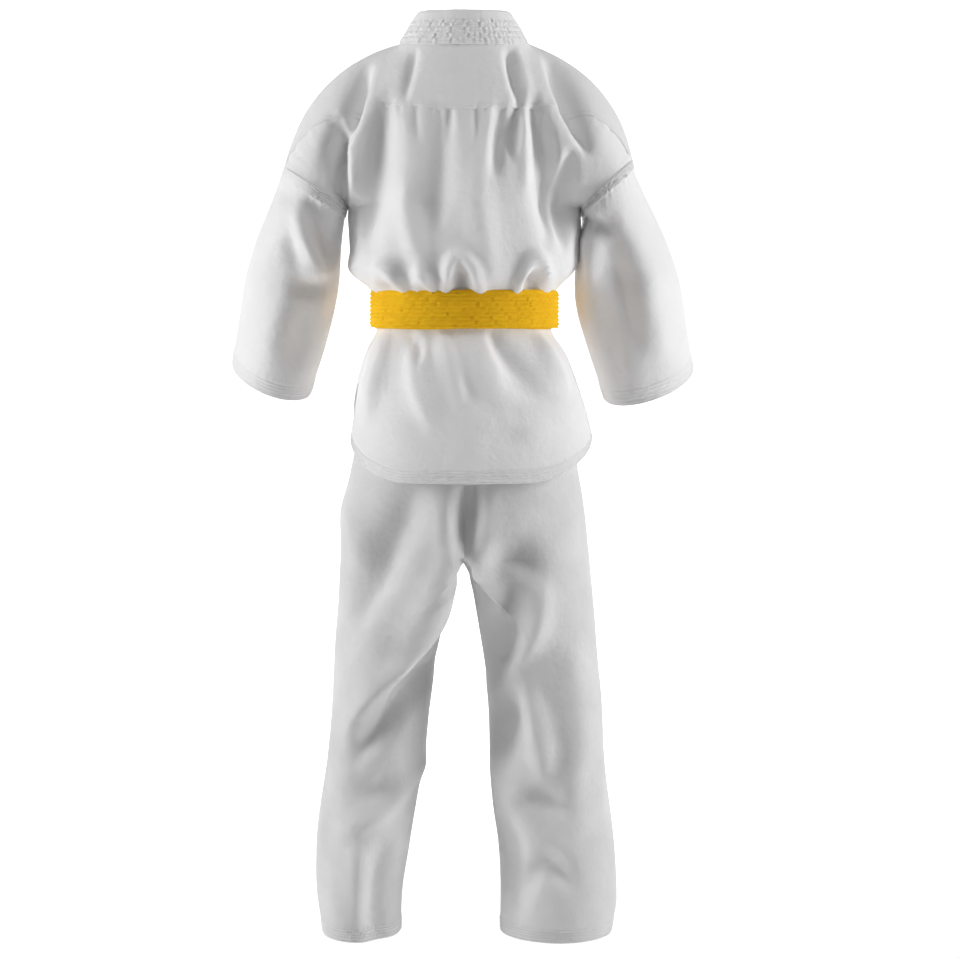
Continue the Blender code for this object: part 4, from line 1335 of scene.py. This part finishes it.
def shape_trousers():
    seat = seat_sheet()
    left = leg_sheet(1)
    right = leg_sheet(-1)
    columns = len(seat.us)
    half = columns // 2
    k = np.arange(half + 1)
    left.points[-1, : half + 1] = seat.points[0, k]
    right.points[-1, : half + 1] = seat.points[0, (columns - k) % columns]
    left.points[-1, half:, 0] = 0.0
    right.points[-1, half:, 0] = 0.0
    right.points[-1, half:, 1] = left.points[-1, half:, 1]
    sheets = [seat, left, right]
    where = welded(sheets)
    fold_together(sheets, [(TROUSER_FOLDS, True, TROUSER_GAIN)] * 3, where)
    return seat, left, right


# ---------------------------------------------------------------- materials
def principled(name):
    material = bpy.data.materials.new(name)
    material.use_nodes = True
    nodes = material.node_tree.nodes
    return material, nodes, material.node_tree.links, nodes["Principled BSDF"]


def noise_node(nodes, links, coordinates, scale, detail):
    node = nodes.new("ShaderNodeTexNoise")
    node.inputs["Scale"].default_value = scale
    node.inputs["Detail"].default_value = detail
    links.new(coordinates, node.inputs["Vector"])
    return node.outputs["Fac"]


def colour_ramp(nodes, links, value, stops):
    ramp = nodes.new("ShaderNodeValToRGB")
    links.new(value, ramp.inputs["Fac"])
    elements = ramp.color_ramp.elements
    elements[0].position, elements[0].color = stops[0][0], (*stops[0][1], 1.0)
    elements[1].position, elements[1].color = stops[1][0], (*stops[1][1], 1.0)
    return ramp.outputs["Color"]


def bump(nodes, links, height, distance, below=None):
    node = nodes.new("ShaderNodeBump")
    node.inputs["Distance"].default_value = distance
    node.inputs["Strength"].default_value = 1.0
    links.new(height, node.inputs["Height"])
    if below is not None:
        links.new(below, node.inputs["Normal"])
    return node.outputs["Normal"]


def twill(nodes, links, vector, spacing, angle):
    """Fine slanted ribs, the given spacing apart."""
    turn = nodes.new("ShaderNodeMapping")
    turn.inputs["Rotation"].default_value = (0.0, 0.0, math.radians(angle))
    links.new(vector, turn.inputs["Vector"])
    ribs = nodes.new("ShaderNodeTexWave")
    ribs.wave_type = "BANDS"
    ribs.inputs["Scale"].default_value = 0.314 / spacing
    ribs.inputs["Distortion"].default_value = 0.6
    ribs.inputs["Detail"].default_value = 1.0
    links.new(turn.outputs["Vector"], ribs.inputs["Vector"])
    return ribs.outputs["Fac"]


RIB_HEIGHT = 0.00010


def cotton(name, light, dark, roughness, sheen, rib=0.0007):
    """Woven cotton: slanted ribs, uneven yarn, soft blotches of tone and a matt fuzz."""
    material, nodes, links, shader = principled(name)
    place = nodes.new("ShaderNodeTexCoord")
    flat = place.outputs["UV"]
    solid = place.outputs["Object"]
    blotch = noise_node(nodes, links, solid, 21.0, 5.0)
    tone = colour_ramp(nodes, links, blotch, ((0.30, dark), (0.70, light)))
    links.new(tone, shader.inputs["Base Color"])
    yarn = noise_node(nodes, links, solid, 1500.0, 3.0)
    first = bump(nodes, links, yarn, 0.00007)
    creases = noise_node(nodes, links, solid, 130.0, 4.0)
    second = bump(nodes, links, creases, 0.0009, first)
    last = bump(nodes, links, twill(nodes, links, flat, rib, 52.0), RIB_HEIGHT, second)
    links.new(last, shader.inputs["Normal"])
    shader.inputs["Roughness"].default_value = roughness
    shader.inputs["Specular IOR Level"].default_value = 0.25
    shader.inputs["Sheen Weight"].default_value = sheen
    shader.inputs["Sheen Roughness"].default_value = 0.55
    shader.inputs["Sheen Tint"].default_value = (*light, 1.0)
    return material


JACKET_WHITE = (0.885, 0.880, 0.885)
JACKET_SHADE = (0.845, 0.840, 0.848)
# The trousers are the same white cotton as the jacket; their darker whites are painted shade for the
# dimmer light on the legs.
TROUSER_WHITE_PAINTED_SHADE = (0.755, 0.747, 0.752)
TROUSER_BLOTCH_PAINTED_SHADE = (0.665, 0.656, 0.664)
THREAD_WHITE = (0.90, 0.895, 0.90)
BELT_YELLOW = (0.95, 0.575, 0.010)
BELT_SHADE = (0.88, 0.495, 0.008)
BELT_THREAD = (0.97, 0.63, 0.02)


FLOOR_STOPS = ((0.3, (0.87, 0.87, 0.87)), (0.7, (0.90, 0.90, 0.90)))
FLOOR_GAP = 0.16
FLOOR_FRONT = 7.0
FLOOR_HALF_WIDTH = 9.0
WALL_START = -4.0
WALL_BEND = 2.0
WALL_HEIGHT = 9.0


def studio():
    """A pale floor that runs up into a pale wall. The garment hangs a little above the floor."""
    ground = TROUSER_HEM - FLOOR_GAP
    profile = [(FLOOR_FRONT, ground)]
    for share in np.linspace(0.0, 1.0, 13):
        angle = share * math.pi / 2.0
        y = WALL_START - WALL_BEND * math.sin(angle)
        profile.append((y, ground + WALL_BEND * (1.0 - math.cos(angle))))
    profile.append((WALL_START - WALL_BEND, ground + WALL_HEIGHT))
    vertices = [(x, y, z) for y, z in profile for x in (-FLOOR_HALF_WIDTH, FLOOR_HALF_WIDTH)]
    faces = [(2 * k, 2 * k + 1, 2 * k + 3, 2 * k + 2) for k in range(len(profile) - 1)]
    mesh = bpy.data.meshes.new("floor")
    mesh.from_pydata(vertices, [], faces)
    mesh.shade_smooth()
    floor = bpy.data.objects.new("floor", mesh)
    bpy.context.scene.collection.objects.link(floor)
    material, nodes, links, shader = principled("studio_paper")
    place = nodes.new("ShaderNodeTexCoord").outputs["Object"]
    tone = colour_ramp(nodes, links, noise_node(nodes, links, place, 0.4, 2.0), FLOOR_STOPS)
    links.new(tone, shader.inputs["Base Color"])
    shader.inputs["Roughness"].default_value = 0.9
    mesh.materials.append(material)


LOOK_AT = Vector((-0.0160, 0.0, -0.4525))
CAMERA_PLACE = Vector((-0.0160, 2.30, -0.278))
FIELD_OF_VIEW = 24.7


def softbox(name, place, size, power, target, spread=math.pi):
    data = bpy.data.lights.new(name, "AREA")
    data.spread = spread
    data.shape = "RECTANGLE"
    data.size, data.size_y = size
    data.energy = power
    light = bpy.data.objects.new(name, data)
    light.location = place
    light.rotation_euler = (Vector(target) - Vector(place)).to_track_quat("-Z", "Y").to_euler()
    bpy.context.scene.collection.objects.link(light)


def lights():
    """Soft light from both sides and above, and lights that keep the wall and floor pale."""
    middle = (0.0, 0.0, -0.42)
    for side in (1.0, -1.0):
        softbox("softbox_side", (side * 2.1, 0.52, 0.05), (0.7, 2.2), 35.5, middle)
        softbox("backdrop_light", (side * 1.6, -1.6, 1.6), (1.6, 1.6), 190.0, (side * 0.6, -6.0, 0.4))
    softbox("floor_light", (0.0, -1.9, 1.5), (3.0, 0.8), 34.0, (0.0, -1.9, -1.1), math.radians(100.0))
    softbox("softbox_top", (0.0, 0.9, 2.1), (1.6, 1.0), 13.0, middle)
    world = bpy.data.worlds.new("studio_air")
    world.use_nodes = True
    air = world.node_tree.nodes["Background"]
    air.inputs["Color"].default_value = (1.0, 1.0, 1.0, 1.0)
    air.inputs["Strength"].default_value = 0.09
    bpy.context.scene.world = world
    bpy.context.scene.view_settings.view_transform = "Standard"


def camera():
    data = bpy.data.cameras.new("camera")
    data.angle = math.radians(FIELD_OF_VIEW)
    made = bpy.data.objects.new("camera", data)
    made.location = CAMERA_PLACE
    made.rotation_euler = (LOOK_AT - CAMERA_PLACE).to_track_quat("-Z", "Y").to_euler()
    bpy.context.scene.collection.objects.link(made)
    bpy.context.scene.camera = made


# ---------------------------------------------------------------- the whole scene
back, front, left_sleeve, right_sleeve = shape_jacket()
seat, left_leg, right_leg = shape_trousers()

jacket_cotton = cotton("jacket_cotton", JACKET_WHITE, JACKET_SHADE, 0.92, 0.20)
band_cotton = cotton("band_cotton", JACKET_WHITE, JACKET_SHADE, 0.92, 0.20)
# a darker copy of the jacket's cotton: painted shade on the trousers
trouser_cotton_painted_shade = cotton("trouser_cotton_painted_shade", TROUSER_WHITE_PAINTED_SHADE, TROUSER_BLOTCH_PAINTED_SHADE, 0.94, 0.18)
belt_cotton = cotton("belt_cotton", BELT_YELLOW, BELT_SHADE, 0.80, 0.12, rib=0.0012)
white_thread = cotton("white_thread", THREAD_WHITE, JACKET_WHITE, 0.80, 0.10, rib=0.0003)
yellow_thread = cotton("yellow_thread", BELT_THREAD, BELT_YELLOW, 0.75, 0.10, rib=0.0003)

back_yoke(back, sign_of(back), jacket_cotton, white_thread)
back_panel(back, sign_of(back), jacket_cotton, white_thread)
for side in (1, -1):
    front_panel(side, front, sign_of(front), jacket_cotton, white_thread)
    lapel(side, front, sign_of(front), band_cotton, white_thread)
collar(band_cotton, white_thread)
for side, arm in ((1, left_sleeve), (-1, right_sleeve)):
    sleeve(side, arm, sign_of(arm), jacket_cotton, white_thread)
for side, leg in ((1, left_leg), (-1, right_leg)):
    trouser_half(side, seat, sign_of(seat), leg, sign_of(leg), trouser_cotton_painted_shade, white_thread)
gusset(trouser_cotton_painted_shade)
waistband(seat, sign_of(seat), trouser_cotton_painted_shade, white_thread)
belt_wrap("belt_outer_turn", "belt_outer_wrap", 0.0, 0.0, 90, belt_cotton, yellow_thread)
belt_wrap("belt_inner_turn", "belt_inner_wrap", 0.0044, 0.0008, 95, belt_cotton, yellow_thread)
knot(belt_cotton, yellow_thread)
for side in (1, -1):
    belt_end(side, belt_cotton, yellow_thread)

studio()
lights()
camera()
